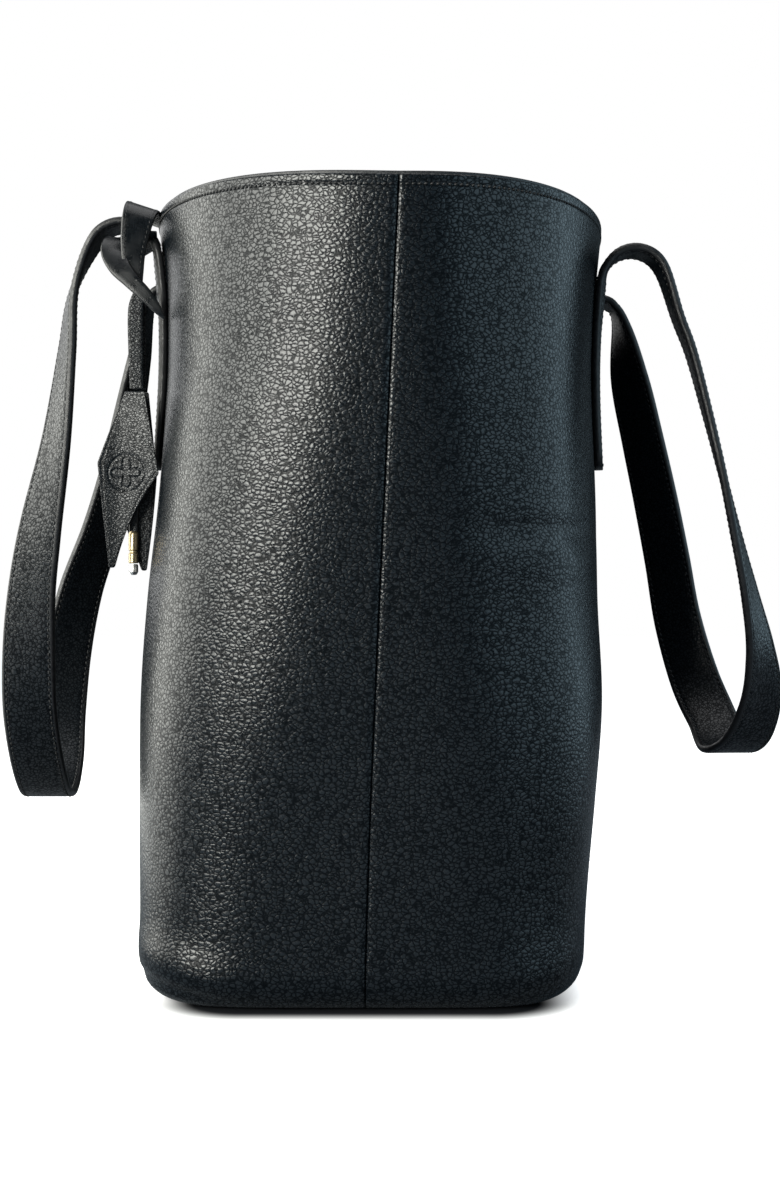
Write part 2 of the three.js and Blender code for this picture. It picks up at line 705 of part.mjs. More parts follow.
// The pull: an eye round the bridge and a slim tab that hangs from it.
function makePull() {
  const thickness = 1.2;
  const back = FRAME_Y - FRAME_THICK - GAP;
  const shape = new THREE.Shape();
  shape.moveTo(-3.4, 1);
  shape.quadraticCurveTo(0, 1.6, 3.4, 1);
  shape.lineTo(4, -22);
  shape.quadraticCurveTo(0, -26, -4, -22);
  shape.closePath();
  const eye = new THREE.Path();
  eye.moveTo(-1.7, -0.6);
  eye.lineTo(-1.7, -5.4);
  eye.lineTo(1.7, -5.4);
  eye.lineTo(1.7, -0.6);
  eye.closePath();
  shape.holes.push(eye);
  const geometry = new THREE.ExtrudeGeometry(shape, { depth: thickness, bevelEnabled: false });
  return geometry.rotateX(Math.PI / 2).translate(SLIDER_X, back, ZIP_Z - 0.4);
}
addMesh("zip_pull", makePull(), brass);

// ---- Bottle pockets on the front lining ----

// A pouch sewn to the lining at its sides, slim at the bottom and open at the top.
function pouchPoint(centre, angle, z, shrink) {
  const c = Math.cos(angle);
  const s = Math.sin(angle);
  const size = (Math.abs(c) ** 3 + Math.abs(s) ** 3) ** (1 / 3);
  const depth = BOTTLE_DEPTH * (0.12 + 0.88 * smoothstep(-10, 48, z - BOTTLE_BOTTOM));
  const x = centre + ((BOTTLE_HALF_WIDTH - shrink) * c) / size;
  const root = wallY(FRONT, x, z, LINING_OFFSET + LINING_THICK) + POUCH_GAP;
  return new THREE.Vector3(x, root + ((depth - shrink) * Math.max(0, s)) / size, z);
}

function makePouch(centre, [z0, z1], rows, outer, thickness) {
  const face = (shrink) => (angle, z) => pouchPoint(centre, angle, z, shrink);
  return sheetSolid(face(-outer), face(-outer + thickness), steps(14, 0, Math.PI), steps(rows, z0, z1));
}

for (const [name, x] of [["near", BOTTLE_X], ["far", -BOTTLE_X]]) {
  const pocket = makePouch(x, [BOTTLE_BOTTOM, BOTTLE_TOP], 6, 0, 1);
  addMesh(`bottle_pocket_${name}`, pocket, liningCloth);
  const band = makePouch(x, [BOTTLE_TOP - 14, BOTTLE_TOP - 2], 1, GAP + 1.2, 1.2);
  addMesh(`bottle_elastic_${name}`, band, elastic);
}

// ---- Magnetic snap on the facings ----

const snapFront = wallY(FRONT, 0, SNAP_Z, LEATHER + GAP + FACING_THICK) + 2 * GAP;
const stud = makeTurned([[0, 0], [7, 0], [7, 1.2], [6.2, 1.8], [2.4, 1.8], [2.4, 4], [0, 4]]);
addMesh("snap_stud", stud.rotateX(-Math.PI / 2).translate(0, snapFront, SNAP_Z), nickel);

const snapBack = wallY(BACK, 0, SNAP_Z, LEATHER + GAP + FACING_THICK) - 2 * GAP;
const socket = makeTurned([[0, 0], [7, 0], [7, 1.6], [6.2, 2.6], [2.9, 2.6], [2.9, 0.8], [0, 0.8]]);
addMesh("snap_socket", socket.rotateX(Math.PI / 2).translate(0, snapBack, SNAP_Z), nickel);

export default bag;
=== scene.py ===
"""A black pebbled-leather tote: its soft goods, stitching, linings, charm and finishes."""
import math

import bpy
import numpy as np
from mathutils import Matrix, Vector


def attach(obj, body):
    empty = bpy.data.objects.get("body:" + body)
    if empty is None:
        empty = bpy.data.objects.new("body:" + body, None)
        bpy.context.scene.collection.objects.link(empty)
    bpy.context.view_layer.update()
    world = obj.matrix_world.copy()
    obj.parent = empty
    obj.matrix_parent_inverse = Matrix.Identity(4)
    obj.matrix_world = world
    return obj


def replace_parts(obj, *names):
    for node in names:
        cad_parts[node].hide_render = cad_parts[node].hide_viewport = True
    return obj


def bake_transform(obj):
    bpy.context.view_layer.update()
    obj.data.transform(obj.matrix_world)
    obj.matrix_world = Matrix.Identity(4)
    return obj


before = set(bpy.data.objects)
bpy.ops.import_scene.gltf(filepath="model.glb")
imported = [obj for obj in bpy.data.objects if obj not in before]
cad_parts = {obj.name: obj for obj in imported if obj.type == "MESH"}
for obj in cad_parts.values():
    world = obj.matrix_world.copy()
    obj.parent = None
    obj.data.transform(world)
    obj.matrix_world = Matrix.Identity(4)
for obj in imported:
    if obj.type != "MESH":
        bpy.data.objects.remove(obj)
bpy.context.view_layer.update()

MM = 0.001  # shapes are worked out in millimetres and stored in metres

# ---- The bag's design, as in the CAD model ----

FRONT, BACK = -1, 1
BODY = {
    "z": [0, 30, 80, 120, 165, 210, 260, 300, 338],
    "half_length": [170, 170.8, 172.4, 174, 176.3, 178.6, 181, 183.3, 185.3],
    "corner": [6.5, 5.6, 4.5, 3.8, 3.4, 3.1, 2.75, 2.55, 2.35],
    "lean": [0, 0.7, 2.3, 4, 6, 8.1, 10.4, 12.2, 14],
    FRONT: [96.5, 98.8, 103, 105.2, 104, 102, 102.8, 105.5, 111.8],
    BACK: [91.5, 94, 98.6, 100.2, 96.2, 93.5, 91, 91.8, 94.3],
}
SEAM_HEIGHT = 330
RIM_LIFT = {FRONT: 7, BACK: 1.5}
BOTTOM_RADIUS = 14
BOTTOM_TURN = math.radians(76)
LEATHER = 1.8
LAYER_GAP = 0.3
FACING_THICK = 1.2
FACING_DEPTH = 38
FACING_PROUD = 1.5
LINING_THICK = 0.8
LINING_OFFSET = 5.5
STRAP_WIDTH = 25
STRAP_THICK = 3.8
STRAP_X = 68
STRAP_WALL_GAP = 0.6
TAB_BOTTOM = 222
POCKET_PLANE = 88.5
ZIP_Z = 236
ZIP_LENGTH = 176
BOTTLE_X = 78
BOTTLE_HALF_WIDTH = 45
BOTTLE_DEPTH = 30
BOTTLE_BOTTOM = 32
BOTTLE_TOP = 150
POUCH_GAP = 1.2
CHARM_X = 88.5

STITCH_PITCH = 2.4
RIM_STITCH_DROP = 4.0
STRAP_STITCH_INSET = 2.5

# Each handle's route as [x, y, z, width angle], as in the CAD model.
HANDLES = {
    "front": {
        "side": FRONT,
        "near": {"x": STRAP_X, "base": 316, "radius": 15, "wall": 7, "arch": 0},
        "far": {"x": -STRAP_X, "base": 312, "radius": 10.5, "wall": 173, "arch": 180},
        "hang": [
            [68, -131.1, 302, 12], [68, -134.2, 275.4, 22], [68, -139.1, 235.3, 36],
            [66, -146.6, 195.3, 55], [62, -150.9, 168.5, 64], [56, -153.3, 141.4, 78],
            [46, -154.6, 113.8, 86], [30, -154.1, 89.8, 90], [8, -153.6, 73.8, 90],
            [-16, -154.2, 72.6, 91], [-40, -155.2, 86.8, 97], [-54, -156.3, 108.5, 105],
            [-62, -154.1, 138.6, 117], [-66, -148.1, 169.1, 128], [-68, -137.7, 199.8, 137],
            [-68, -129.5, 230.5, 146], [-68, -123.3, 261.2, 155], [-68, -118.3, 288, 165],
        ],
    },
    "back": {
        "side": BACK,
        "near": {"x": STRAP_X, "base": 305.5, "radius": 14, "wall": 173, "arch": 180},
        "far": {"x": -STRAP_X, "base": 305.5, "radius": 11.5, "wall": 7, "arch": 0},
        "hang": [
            [68, 138.3, 288.8, 177], [68, 143.4, 275.4, 176], [68, 150.7, 248.7, 174],
            [68, 157.4, 221.9, 171], [64, 164.1, 195.3, 166], [58, 171.2, 168.5, 159],
            [46, 178.1, 141.2, 147], [30, 181.4, 117.6, 128], [8, 178.2, 97.5, 106],
            [-14, 172.3, 92.2, 92], [-36, 169.9, 104.5, 80], [-52, 163.4, 123.7, 70],
            [-62, 156, 153.8, 62], [-66, 151.2, 184.4, 57], [-68, 145.5, 215.2, 54],
            [-68, 138.9, 245.9, 49], [-68, 132.2, 276.6, 40],
        ],
    },
}

# Soft pushes of the leather: [x, y, z, radius across, radius up, outward amount].
PUSHES = [
    [150, -70, 205, 60, 60, 1.2],
    [140, -80, 262, 50, 16, -1.0],
    [165, -45, 120, 45, 40, 1.3],
    [150, -85, 60, 35, 30, -1.0],
    [172, -25, 60, 30, 45, -0.8],
    [160, 60, 250, 55, 40, 0.9],
    [150, 85, 192, 40, 5, -1.6],
    [150, 88, 180, 40, 9, 1.2],
    [165, 50, 110, 50, 45, 1.0],
    [155, 75, 45, 40, 26, -1.2],
    [0, -105, 170, 110, 60, 1.5],
    [60, -105, 90, 60, 40, -1.4],
    [-80, -105, 120, 60, 70, -1.2],
    [20, 105, 200, 100, 60, 1.4],
    [-70, 100, 110, 70, 50, -1.5],
    [80, 100, 70, 60, 40, -1.2],
    [-160, -60, 180, 50, 70, -1.3],
    [-160, 60, 120, 50, 60, 1.2],
]


def spline(xs, ys, x):
    """A smooth curve through (xs, ys), with slopes taken from the neighbouring points."""
    xs, ys, x = np.asarray(xs, float), np.asarray(ys, float), np.asarray(x, float)
    last = len(xs) - 1
    ends = np.minimum(np.arange(last + 1) + 1, last)
    starts = np.maximum(np.arange(last + 1) - 1, 0)
    slopes = (ys[ends] - ys[starts]) / (xs[ends] - xs[starts])
    i = np.clip(np.searchsorted(xs, x, side="left") - 1, 0, last - 1)
    h = xs[i + 1] - xs[i]
    t = (x - xs[i]) / h
    s = 1 - t
    ends_part = s * s * (1 + 2 * t) * ys[i] + t * t * (3 - 2 * t) * ys[i + 1]
    return ends_part + s * s * t * h * slopes[i] - t * t * s * h * slopes[i + 1]


def smoothstep(low, high, x):
    t = np.clip((x - low) / (high - low), 0, 1)
    return t * t * (3 - 2 * t)


def body(key, z):
    return spline(BODY["z"], BODY[key], z)


def wall(side, turn, z, inset):
    """Points of the wall at heights z, inset from its outer face; turn is 0 at the +X seam."""
    power = body("corner", z)
    c, s = np.cos(turn), np.sin(turn)
    size = (np.abs(c) ** power + np.abs(s) ** power) ** (1 / power)
    x = (body("half_length", z) - inset) * c / size
    y = body("lean", z) + side * (body(side, z) - inset) * s / size
    return np.stack(np.broadcast_arrays(x, y, z), axis=-1)


def wall_out(side, turn, z):
    """The wall's outward direction, level with the ground."""
    power = body("corner", z)
    c, s = np.cos(turn), np.abs(np.sin(turn))
    x = np.sign(c) * np.abs(c) ** (power - 1) / body("half_length", z)
    y = side * s ** (power - 1) / body(side, z)
    length = np.hypot(x, y)
    return np.stack(np.broadcast_arrays(x / length, y / length, np.zeros_like(z + x)), axis=-1)


def push_at(points):
    """How far the soft leather stands out at points of the wall."""
    total = np.zeros(points.shape[:-1])
    for x, y, z, across, up, amount in PUSHES:
        level = (points[..., 0] - x) ** 2 + (points[..., 1] - y) ** 2
        total += amount * np.exp(-level / across**2 - ((points[..., 2] - z) / up) ** 2)
    return total * smoothstep(4, 26, points[..., 2])


def skin(side, turn, z, inset):
    """Points of a layer of the wall, with the leather's soft shape; every layer moves together."""
    turn, z, inset = np.broadcast_arrays(turn, np.asarray(z, float), inset)
    lift = push_at(wall(side, turn, z, 0))[..., None] * wall_out(side, turn, z)
    return wall(side, turn, z, inset) + lift


def rim_height(side, turn):
    return SEAM_HEIGHT + RIM_LIFT[side] * np.abs(np.sin(turn)) ** 1.5


def wall_y(side, x, z, inset):
    """How far out a layer of the wall is at a given x and height."""
    power = body("corner", z)
    width = body(side, z) - inset
    along = np.abs(x / (body("half_length", z) - inset))
    return body("lean", z) + side * width * (1 - along**power) ** (1 / power)


# ---- Meshes ----

def quads(a, b, c, d):
    return np.stack([a, b, c, d], axis=-1).reshape(-1, 4)


def shell(rows):
    """A closed sheet from rows of points that go up its outer face, over its edge and down its
    inner face. There is an even number of rows."""
    rows = np.asarray(rows, float)
    count, wide = rows.shape[:2]
    index = np.arange(count * wide).reshape(count, wide)
    j = np.arange(count // 2 - 1)
    left = quads(index[j, 0], index[j + 1, 0], index[count - 2 - j, 0], index[count - 1 - j, 0])
    right = quads(index[j, -1], index[count - 1 - j, -1], index[count - 2 - j, -1], index[j + 1, -1])
    faces = np.concatenate([
        quads(index[:-1, :-1], index[:-1, 1:], index[1:, 1:], index[1:, :-1]),
        quads(index[-1, :-1], index[-1, 1:], index[0, 1:], index[0, :-1]),
        left[:, ::-1],
        right[:, ::-1],
    ])
    return rows.reshape(-1, 3), faces


def tube(sections):
    """A closed bar from rings of points, with a flat face on each end."""
    sections = np.asarray(sections, float)
    count, around = sections.shape[:2]
    index = np.arange(count * around).reshape(count, around)
    rolled = np.roll(index, -1, axis=1)
    sides = quads(index[:-1], rolled[:-1], rolled[1:], index[1:]).tolist()
    caps = [index[0, ::-1].tolist(), index[-1].tolist()]
    return sections.reshape(-1, 3), sides + caps


def volume_sign(points, faces):
    total = 0.0
    for face in faces:
        corner = points[face[0]]
        for i in range(1, len(face) - 1):
            total += np.dot(corner, np.cross(points[face[i]], points[face[i + 1]]))
    return total


def quad_volume(points, faces):
    a, b, c, d = (points[faces[:, i]] for i in range(4))
    first = np.einsum("ij,ij->i", a, np.cross(b, c))
    return float((first + np.einsum("ij,ij->i", a, np.cross(c, d))).sum())


def make_piece(name, points, faces, material, body_name="root", sharp=40, picks=None, uv=None):
    """A named mesh with its faces outwards, its materials and the body it rides on.
    picks gives each face's material, and uv each point's place in its material, in metres."""
    if isinstance(faces, np.ndarray):
        flip = quad_volume(points, faces) < 0
        faces = faces.tolist()
    else:
        flip = volume_sign(points, faces) < 0
    if flip:
        faces = [face[::-1] for face in faces]
    mesh = bpy.data.meshes.new(name)
    mesh.from_pydata((np.asarray(points) * MM).tolist(), [], faces)
    for item in material if isinstance(material, list) else [material]:
        mesh.materials.append(item)
    if picks is not None:
        mesh.polygons.foreach_set("material_index", np.asarray(picks, np.int32))
    if uv is not None:
        layer = mesh.uv_layers.new(name="UVMap")
        loops = np.zeros(len(mesh.loops), np.int32)
        mesh.loops.foreach_get("vertex_index", loops)
        layer.data.foreach_set("uv", np.asarray(uv, np.float32)[loops].ravel())
    mesh.polygons.foreach_set("use_smooth", np.ones(len(mesh.polygons), bool))
    mesh.update()
    mesh.set_sharp_from_angle(angle=math.radians(sharp))
    piece = bpy.data.objects.new(name, mesh)
    bpy.context.scene.collection.objects.link(piece)
    if body_name:
        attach(piece, body_name)
    return piece


def box_solid(low, high):
    """The corners and faces of a box between two opposite corners."""
    spots = [[x, y, z] for z in (low[2], high[2]) for y in (low[1], high[1]) for x in (low[0], high[0])]
    faces = np.array([[0, 2, 3, 1], [4, 5, 7, 6], [0, 1, 5, 4], [2, 6, 7, 3], [0, 4, 6, 2], [1, 3, 7, 5]])
    return np.array(spots, float), faces


def normalise(vectors):
    return vectors / np.linalg.norm(vectors, axis=-1, keepdims=True)


def running_length(points):
    steps = np.linalg.norm(np.diff(points, axis=0), axis=1)
    return np.concatenate([[0], np.cumsum(steps)])


def resample(points, spacing, *others):
    """Points, and what goes with them, at an even spacing along their line."""
    length = running_length(points)
    count = max(2, int(round(length[-1] / spacing)) + 1)
    at = np.linspace(0, length[-1], count)
    result = []
    for values in (points, *others):
        columns = [np.interp(at, length, values[:, k]) for k in range(values.shape[1])]
        result.append(np.stack(columns, axis=1))
    return result


# ---- Stitches ----

STRAP_STITCH = {"pitch": 2.9, "length": 2.2, "radius": 0.46}
STITCH_RING = 6  # points round a stitch
STITCH_STATIONS = 6  # rings along a stitch
STITCH_SLANT = 0.14  # sideways run for each part along
STITCH_THINNING = 0.75  # share of its radius that a stitch loses towards its ends
STITCH_DIVE = 0.5  # how far the ends sink below the middle
STITCH_LIFT = 0.12  # how far the middle stands out
STITCH_FLATNESS = 0.8  # a stitch's height as a share of its width


def stitch_run(points, normals, pitch=STITCH_PITCH, length=1.8, radius=0.3):
    """Points and faces of a row of sewn stitches along a line; each one arches out of the
    leather and dives back in at both ends."""
    spaced, up = resample(points, pitch, normals)
    middles = (spaced[:-1] + spaced[1:]) / 2
    along = normalise(spaced[1:] - spaced[:-1])
    up = normalise(up[:-1] + up[1:])
    across = normalise(np.cross(up, along))
    along = normalise(along + STITCH_SLANT * across)
    s = np.linspace(-1, 1, STITCH_STATIONS)
    fat = radius * (1 - STITCH_THINNING * s**4)
    dive = -STITCH_DIVE * s**4 + STITCH_LIFT
    angle = np.linspace(0, 2 * math.pi, STITCH_RING, endpoint=False)
    ring_side = np.outer(fat, np.cos(angle))
    ring_up = np.outer(fat, np.sin(angle)) * STITCH_FLATNESS + dive[:, None]
    run = np.repeat((s * length / 2)[:, None], STITCH_RING, axis=1)
    verts = (
        middles[:, None, None, :]
        + run[None, :, :, None] * along[:, None, None, :]
        + ring_side[None, :, :, None] * across[:, None, None, :]
        + ring_up[None, :, :, None] * up[:, None, None, :]
    )
    count = len(middles)
    block = STITCH_STATIONS * STITCH_RING
    index = np.arange(block).reshape(STITCH_STATIONS, STITCH_RING)
    rolled = np.roll(index, -1, axis=1)
    one = quads(index[:-1], rolled[:-1], rolled[1:], index[1:])[:, ::-1]
    faces = (one[None] + (np.arange(count) * block)[:, None, None]).reshape(-1, 4)
    first = [[0, 1, 2, 3], [0, 3, 4, 5]]
    last = [[block - 1 - k for k in face] for face in first]
    ends = np.array(first + last)
    caps = (ends[None] + (np.arange(count) * block)[:, None, None]).reshape(-1, 4)
    return verts.reshape(-1, 3), np.concatenate([faces, caps])


def make_stitches(name, runs, material, slot, body_name="root", **style):
    points, faces, start = [], [], 0
    for line, normals in runs:
        run_points, run_faces = stitch_run(np.asarray(line), np.asarray(normals), **style)
        points.append(run_points)
        faces.append(run_faces + start)
        start += len(run_points)
    joined = np.concatenate(points)
    return make_piece(name, joined, np.concatenate(faces), material, body_name, sharp=80)


# ---- Materials ----

class Shader:
    """A material's nodes, with short ways to add and join them."""

    def __init__(self, name):
        self.material = bpy.data.materials.new(name)
        self.material.use_nodes = True
        self.tree = self.material.node_tree
        self.surface = self.tree.nodes["Principled BSDF"]

    def node(self, kind, settings=None, **inputs):
        node = self.tree.nodes.new(kind)
        for key, value in (settings or {}).items():
            setattr(node, key, value)
        for key, value in inputs.items():
            self.put(node.inputs[key.replace("_", " ")], value)
        return node

    def put(self, socket, value):
        if isinstance(value, bpy.types.NodeSocket):
            self.tree.links.new(value, socket)
        else:
            socket.default_value = value

    def math(self, operation, a, b=0.0):
        node = self.node("ShaderNodeMath", {"operation": operation})
        self.put(node.inputs[0], a)
        self.put(node.inputs[1], b)
        return node.outputs[0]

    def span(self, value, low, high, to_low=0.0, to_high=1.0):
        node = self.node("ShaderNodeMapRange", {"interpolation_type": "SMOOTHSTEP"})
        self.put(node.inputs["Value"], value)
        limits = {"From Min": low, "From Max": high, "To Min": to_low, "To Max": to_high}
        for key, number in limits.items():
            node.inputs[key].default_value = number
        return node.outputs["Result"]

    def blend(self, share, low, high):
        node = self.node("ShaderNodeMix", {"data_type": "RGBA"})
        self.put(node.inputs["Factor"], share)
        self.put(node.inputs["A"], (*low, 1))
        self.put(node.inputs["B"], (*high, 1))
        return node.outputs["Result"]

    def place(self, source, warp=0.0, warp_scale=200.0, stretch=(1, 1, 1)):
        """Where a point is in the material, in metres, with its lines gently bent."""
        coords = self.node("ShaderNodeTexCoord").outputs[source]
        mapping = self.node("ShaderNodeMapping", None, Vector=coords, Scale=stretch)
        if not warp:
            return mapping.outputs["Vector"]
        noise = self.noise(mapping.outputs["Vector"], warp_scale, 2, "Color")
        shift = self.node("ShaderNodeVectorMath", {"operation": "MULTIPLY_ADD"})
        self.put(shift.inputs[0], noise)
        shift.inputs[1].default_value = (warp, warp, warp)
        self.put(shift.inputs[2], mapping.outputs["Vector"])
        return shift.outputs["Vector"]

    def noise(self, place, scale, detail=2, output="Fac"):
        node = self.node("ShaderNodeTexNoise", None, Vector=place, Scale=scale, Detail=detail)
        return node.outputs[output]

    def cells(self, place, scale, feature, output="Distance"):
        node = self.node("ShaderNodeTexVoronoi", {"feature": feature}, Vector=place, Scale=scale)
        return node.outputs[output]

    def bump(self, height, distance):
        node = self.node("ShaderNodeBump", None, Height=height, Distance=distance, Strength=1.0)
        self.put(self.surface.inputs["Normal"], node.outputs["Normal"])

    def set(self, **inputs):
        for key, value in inputs.items():
            self.put(self.surface.inputs[key.replace("_", " ")], value)


def shades(color, low, high):
    """A darker and a lighter shade of a colour."""
    return tuple(low * c for c in color), tuple(high * c for c in color)


GRAIN_STRETCH = (0.86, 0.86, 1.12)  # the grain's cells are a little wider than high


def pebbled_leather(name, source, cell=1.8, depth=0.062, crest=0.2, valley=0.29, gloss=0.55):
    """Pebble grain: rounded cells with fine creases between them, glossier on their crests. The creases
    carry painted shade: a darker colour and a lower specular level than the crests.
    """
    shader = Shader(name)
    place = shader.place(source, warp=0.0024, warp_scale=240, stretch=GRAIN_STRETCH)
    scale = 1000 / cell
    creases = shader.span(shader.cells(place, scale, "DISTANCE_TO_EDGE"), 0.0, 0.26)
    domes = shader.span(shader.cells(place, scale, "F1"), 0.0, 0.75, 1.0, 0.0)
    small = shader.span(shader.cells(place, scale * 2.1, "DISTANCE_TO_EDGE"), 0.0, 0.3)
    fine = shader.noise(place, 2600, 3)
    patch = shader.noise(place, 45, 2)
    raised = shader.math("MULTIPLY", creases, shader.span(patch, 0.25, 0.7, 0.75, 1.0))
    height = shader.math("MULTIPLY", raised, 0.55)
    for part, share in ((domes, 1.1), (small, 0.12), (fine, 0.1)):
        height = shader.math("ADD", height, shader.math("MULTIPLY", part, share))
    shader.bump(height, depth * MM)
    # Painted shade: the creases get a darker colour and less specular than the crests, standing in for the
    # shade that falls in them.
    shine = shader.math("ADD", creases, shader.math("MULTIPLY", small, 0.4))
    shader.set(
        Base_Color=shader.blend(creases, (0.0013, 0.0022, 0.0032), (0.0034, 0.0058, 0.0084)),
        Roughness=shader.span(height, 0.3, 1.6, valley, crest),
        Specular_IOR_Level=shader.span(shine, 0.1, 1.2, 0.08, gloss),
        IOR=1.5,
    )
    return shader.material


def smooth_leather(name, depth=0.03, roughness=0.46, color=(0.004, 0.0052, 0.007)):
    """Close-grained leather, with fine pores and long soft creases."""
    shader = Shader(name)
    place = shader.place("Object", warp=0.001, warp_scale=300)
    pores = shader.span(shader.cells(place, 1500, "DISTANCE_TO_EDGE"), 0.0, 0.3)
    creases = shader.noise(place, 160, 4)
    height = shader.math("ADD", pores, shader.math("MULTIPLY", creases, 1.5))
    shader.bump(height, depth * MM)
    shader.set(
        Base_Color=shader.blend(creases, *shades(color, 0.7, 1.4)),
        Roughness=shader.span(creases, 0.3, 0.7, roughness - 0.06, roughness + 0.1),
        IOR=1.48,
    )
    return shader.material


def edge_paint(name):
    """The painted edge of a strap: rounded, sealed and slightly uneven."""
    shader = Shader(name)
    place = shader.place("Object")
    wander = shader.noise(place, 500, 2)
    shader.bump(wander, 0.12 * MM)
    shader.set(
        Base_Color=shader.blend(wander, (0.003, 0.003, 0.004), (0.007, 0.0075, 0.009)),
        Roughness=shader.span(wander, 0.3, 0.7, 0.34, 0.5),
    )
    return shader.material


def thread(name, color, sheen):
    """Twisted sewing thread."""
    shader = Shader(name)
    place = shader.place("Object")
    twist = shader.noise(place, 4200, 2)
    shader.bump(twist, 0.08 * MM)
    shader.set(
        Base_Color=shader.blend(twist, *shades(color, 0.6, 1.5)),
        Roughness=shader.span(twist, 0.3, 0.7, 0.5, 0.75),
        Sheen_Weight=sheen,
        Sheen_Roughness=0.4,
    )
    return shader.material


def woven(name, color, pitch, depth):
    """Twill: diagonal ribs crossed by the thread, with slubs and slight fading."""
    shader = Shader(name)
    place = shader.place("Object")
    parts = shader.node("ShaderNodeSeparateXYZ", None, Vector=place).outputs
    level = shader.math("ADD", parts["X"], parts["Y"])
    rate = 2 * math.pi / (pitch * MM)
    diagonal = shader.math("MULTIPLY", shader.math("ADD", level, parts["Z"]), rate)
    crossing = shader.math("MULTIPLY", shader.math("SUBTRACT", level, parts["Z"]), rate * 0.5)
    ribs = shader.math("SINE", diagonal)
    picks = shader.math("SINE", crossing)
    slubs = shader.noise(place, 900, 3)
    fade = shader.noise(place, 30, 3)
    height = shader.math("ADD", ribs, shader.math("MULTIPLY", picks, 0.6))
    height = shader.math("ADD", height, shader.math("MULTIPLY", slubs, 0.8))
    shader.bump(height, depth * MM)
    weave_shade = shader.span(height, -1.2, 1.8, 0.0, 0.7)
    shade = shader.math("ADD", weave_shade, shader.span(fade, 0.3, 0.7, 0.0, 0.3))
    shader.set(
        Base_Color=shader.blend(shade, *shades(color, 0.55, 1.3)),
        Roughness=shader.span(slubs, 0.3, 0.7, 0.75, 0.95),
        Sheen_Weight=0.3,
        Sheen_Roughness=0.5,
    )
    return shader.material


def ribbed(name, color, pitch):
    """Elastic or webbing: level ribs, crossed by fine yarns."""
    shader = Shader(name)
    place = shader.place("Object")
    parts = shader.node("ShaderNodeSeparateXYZ", None, Vector=place).outputs
    ribs = shader.math("SINE", shader.math("MULTIPLY", parts["Z"], 2 * math.pi / (pitch * MM)))
    yarns = shader.noise(place, 2400, 3)
    height = shader.math("ADD", ribs, yarns)
    shader.bump(height, 0.16 * MM)
    shader.set(
        Base_Color=shader.blend(shader.span(height, -0.6, 1.6), *shades(color, 0.5, 1.4)),
        Roughness=shader.span(yarns, 0.3, 0.7, 0.7, 0.92),
        Sheen_Weight=0.2,
    )
    return shader.material


def metal(name, color, roughness):
    """Plated metal with faint hand-polishing marks and handling haze."""
    shader = Shader(name)
    place = shader.place("Object")
    haze = shader.noise(place, 160, 4)
    marks = shader.noise(place, 2500, 2)
    shader.bump(marks, 0.02 * MM)
    shader.set(
        Base_Color=shader.blend(haze, *shades(color, 0.78, 1.0)),
        Roughness=shader.span(haze, 0.3, 0.7, roughness, roughness + 0.16),
        Metallic=1.0,
    )
    return shader.material


def fibre_board(name):
    """Pressed board with short fibres."""
    shader = Shader(name)
    place = shader.place("Object")
    fibres = shader.noise(place, 900, 5)
    shader.bump(fibres, 0.2 * MM)
    shader.set(Base_Color=shader.blend(fibres, (0.16, 0.14, 0.11), (0.34, 0.31, 0.26)))
    shader.set(Roughness=shader.span(fibres, 0.3, 0.7, 0.8, 0.95))
    return shader.material


PEBBLED = pebbled_leather("pebbled_leather", "Object")
STRAP_FACE = pebbled_leather("strap_face_leather", "UV", cell=1.5, depth=0.07, crest=0.28, valley=0.38)
STRAP_BACK = pebbled_leather(
    "strap_back_leather", "UV", cell=1.3, depth=0.04, crest=0.36, valley=0.44, gloss=0.4
)
LEAF_FACE = pebbled_leather(
    "leaf_leather", "Object", cell=1.1, depth=0.05, crest=0.32, valley=0.42, gloss=0.6
)
SMOOTH = smooth_leather("smooth_leather")
HITCH_LEATHER = smooth_leather("hitch_leather", depth=0.025, roughness=0.28, color=(0.002, 0.003, 0.0042))
EDGE = edge_paint("painted_edge")
THREAD = thread("black_thread", (0.004, 0.0045, 0.0055), sheen=0.04)
RIM_THREAD = thread("rim_thread", (0.0015, 0.0016, 0.002), sheen=0.0)
LINING = woven("lining_twill", (0.055, 0.064, 0.085), 1.1, 0.1)
TAPE = ribbed("zip_tape", (0.03, 0.034, 0.045), 0.9)
WEBBING = ribbed("seam_webbing", (0.04, 0.045, 0.06), 1.2)
ELASTIC = ribbed("elastic_band", (0.03, 0.034, 0.045), 1.6)
BRASS = metal("brass", (0.5, 0.41, 0.26), 0.28)
NICKEL = metal("nickel", (0.78, 0.78, 0.77), 0.16)
BOARD = fibre_board("fibre_board")


# ---- The bag's leather ----

MEASURED_HEIGHT = 110.0  # where the wall's girth is measured
# Rows of points stand at these distances from a side seam, and evenly beyond the seam's zone.
SEAM_ROWS = np.array([0, 0.3, 0.6, 1.0, 1.5, 2.1, 2.9, 3.9, 5.2, 6.6])
SEAM_ZONE = 8.6
BOTH_SEAMS = 17


def even_turns(spacing):
    """Turns from seam to seam that are evenly spaced along the wall, and close at the seams."""
    turns = np.linspace(0.0, math.pi, 4001)
    line = wall(FRONT, turns, np.full_like(turns, MEASURED_HEIGHT), 0)
    length = running_length(line)
    count = int((length[-1] - BOTH_SEAMS) / spacing)
    middle = np.linspace(SEAM_ZONE, length[-1] - SEAM_ZONE, count)
    at = np.concatenate([SEAM_ROWS, middle, length[-1] - SEAM_ROWS[::-1]])
    return np.interp(at, length, turns)


# A side seam's shape on each panel: a wide dip, a narrow slit and the lip beside them.
SEAM_SHAPE = {
    FRONT: {"dip": 0.7, "slit": 0.9, "slit_width": 0.5, "lip": 0.06},
    BACK: {"dip": 0.1, "slit": 0.45, "slit_width": 0.35, "lip": 0.04},
}
SEAM_DIP_WIDTH = 1.5
SEAM_LIP_AT = 3.2


def hump(distance, width):
    """A smooth hump, 1 high, that fades over a width."""
    return np.exp(-((distance / width) ** 2))


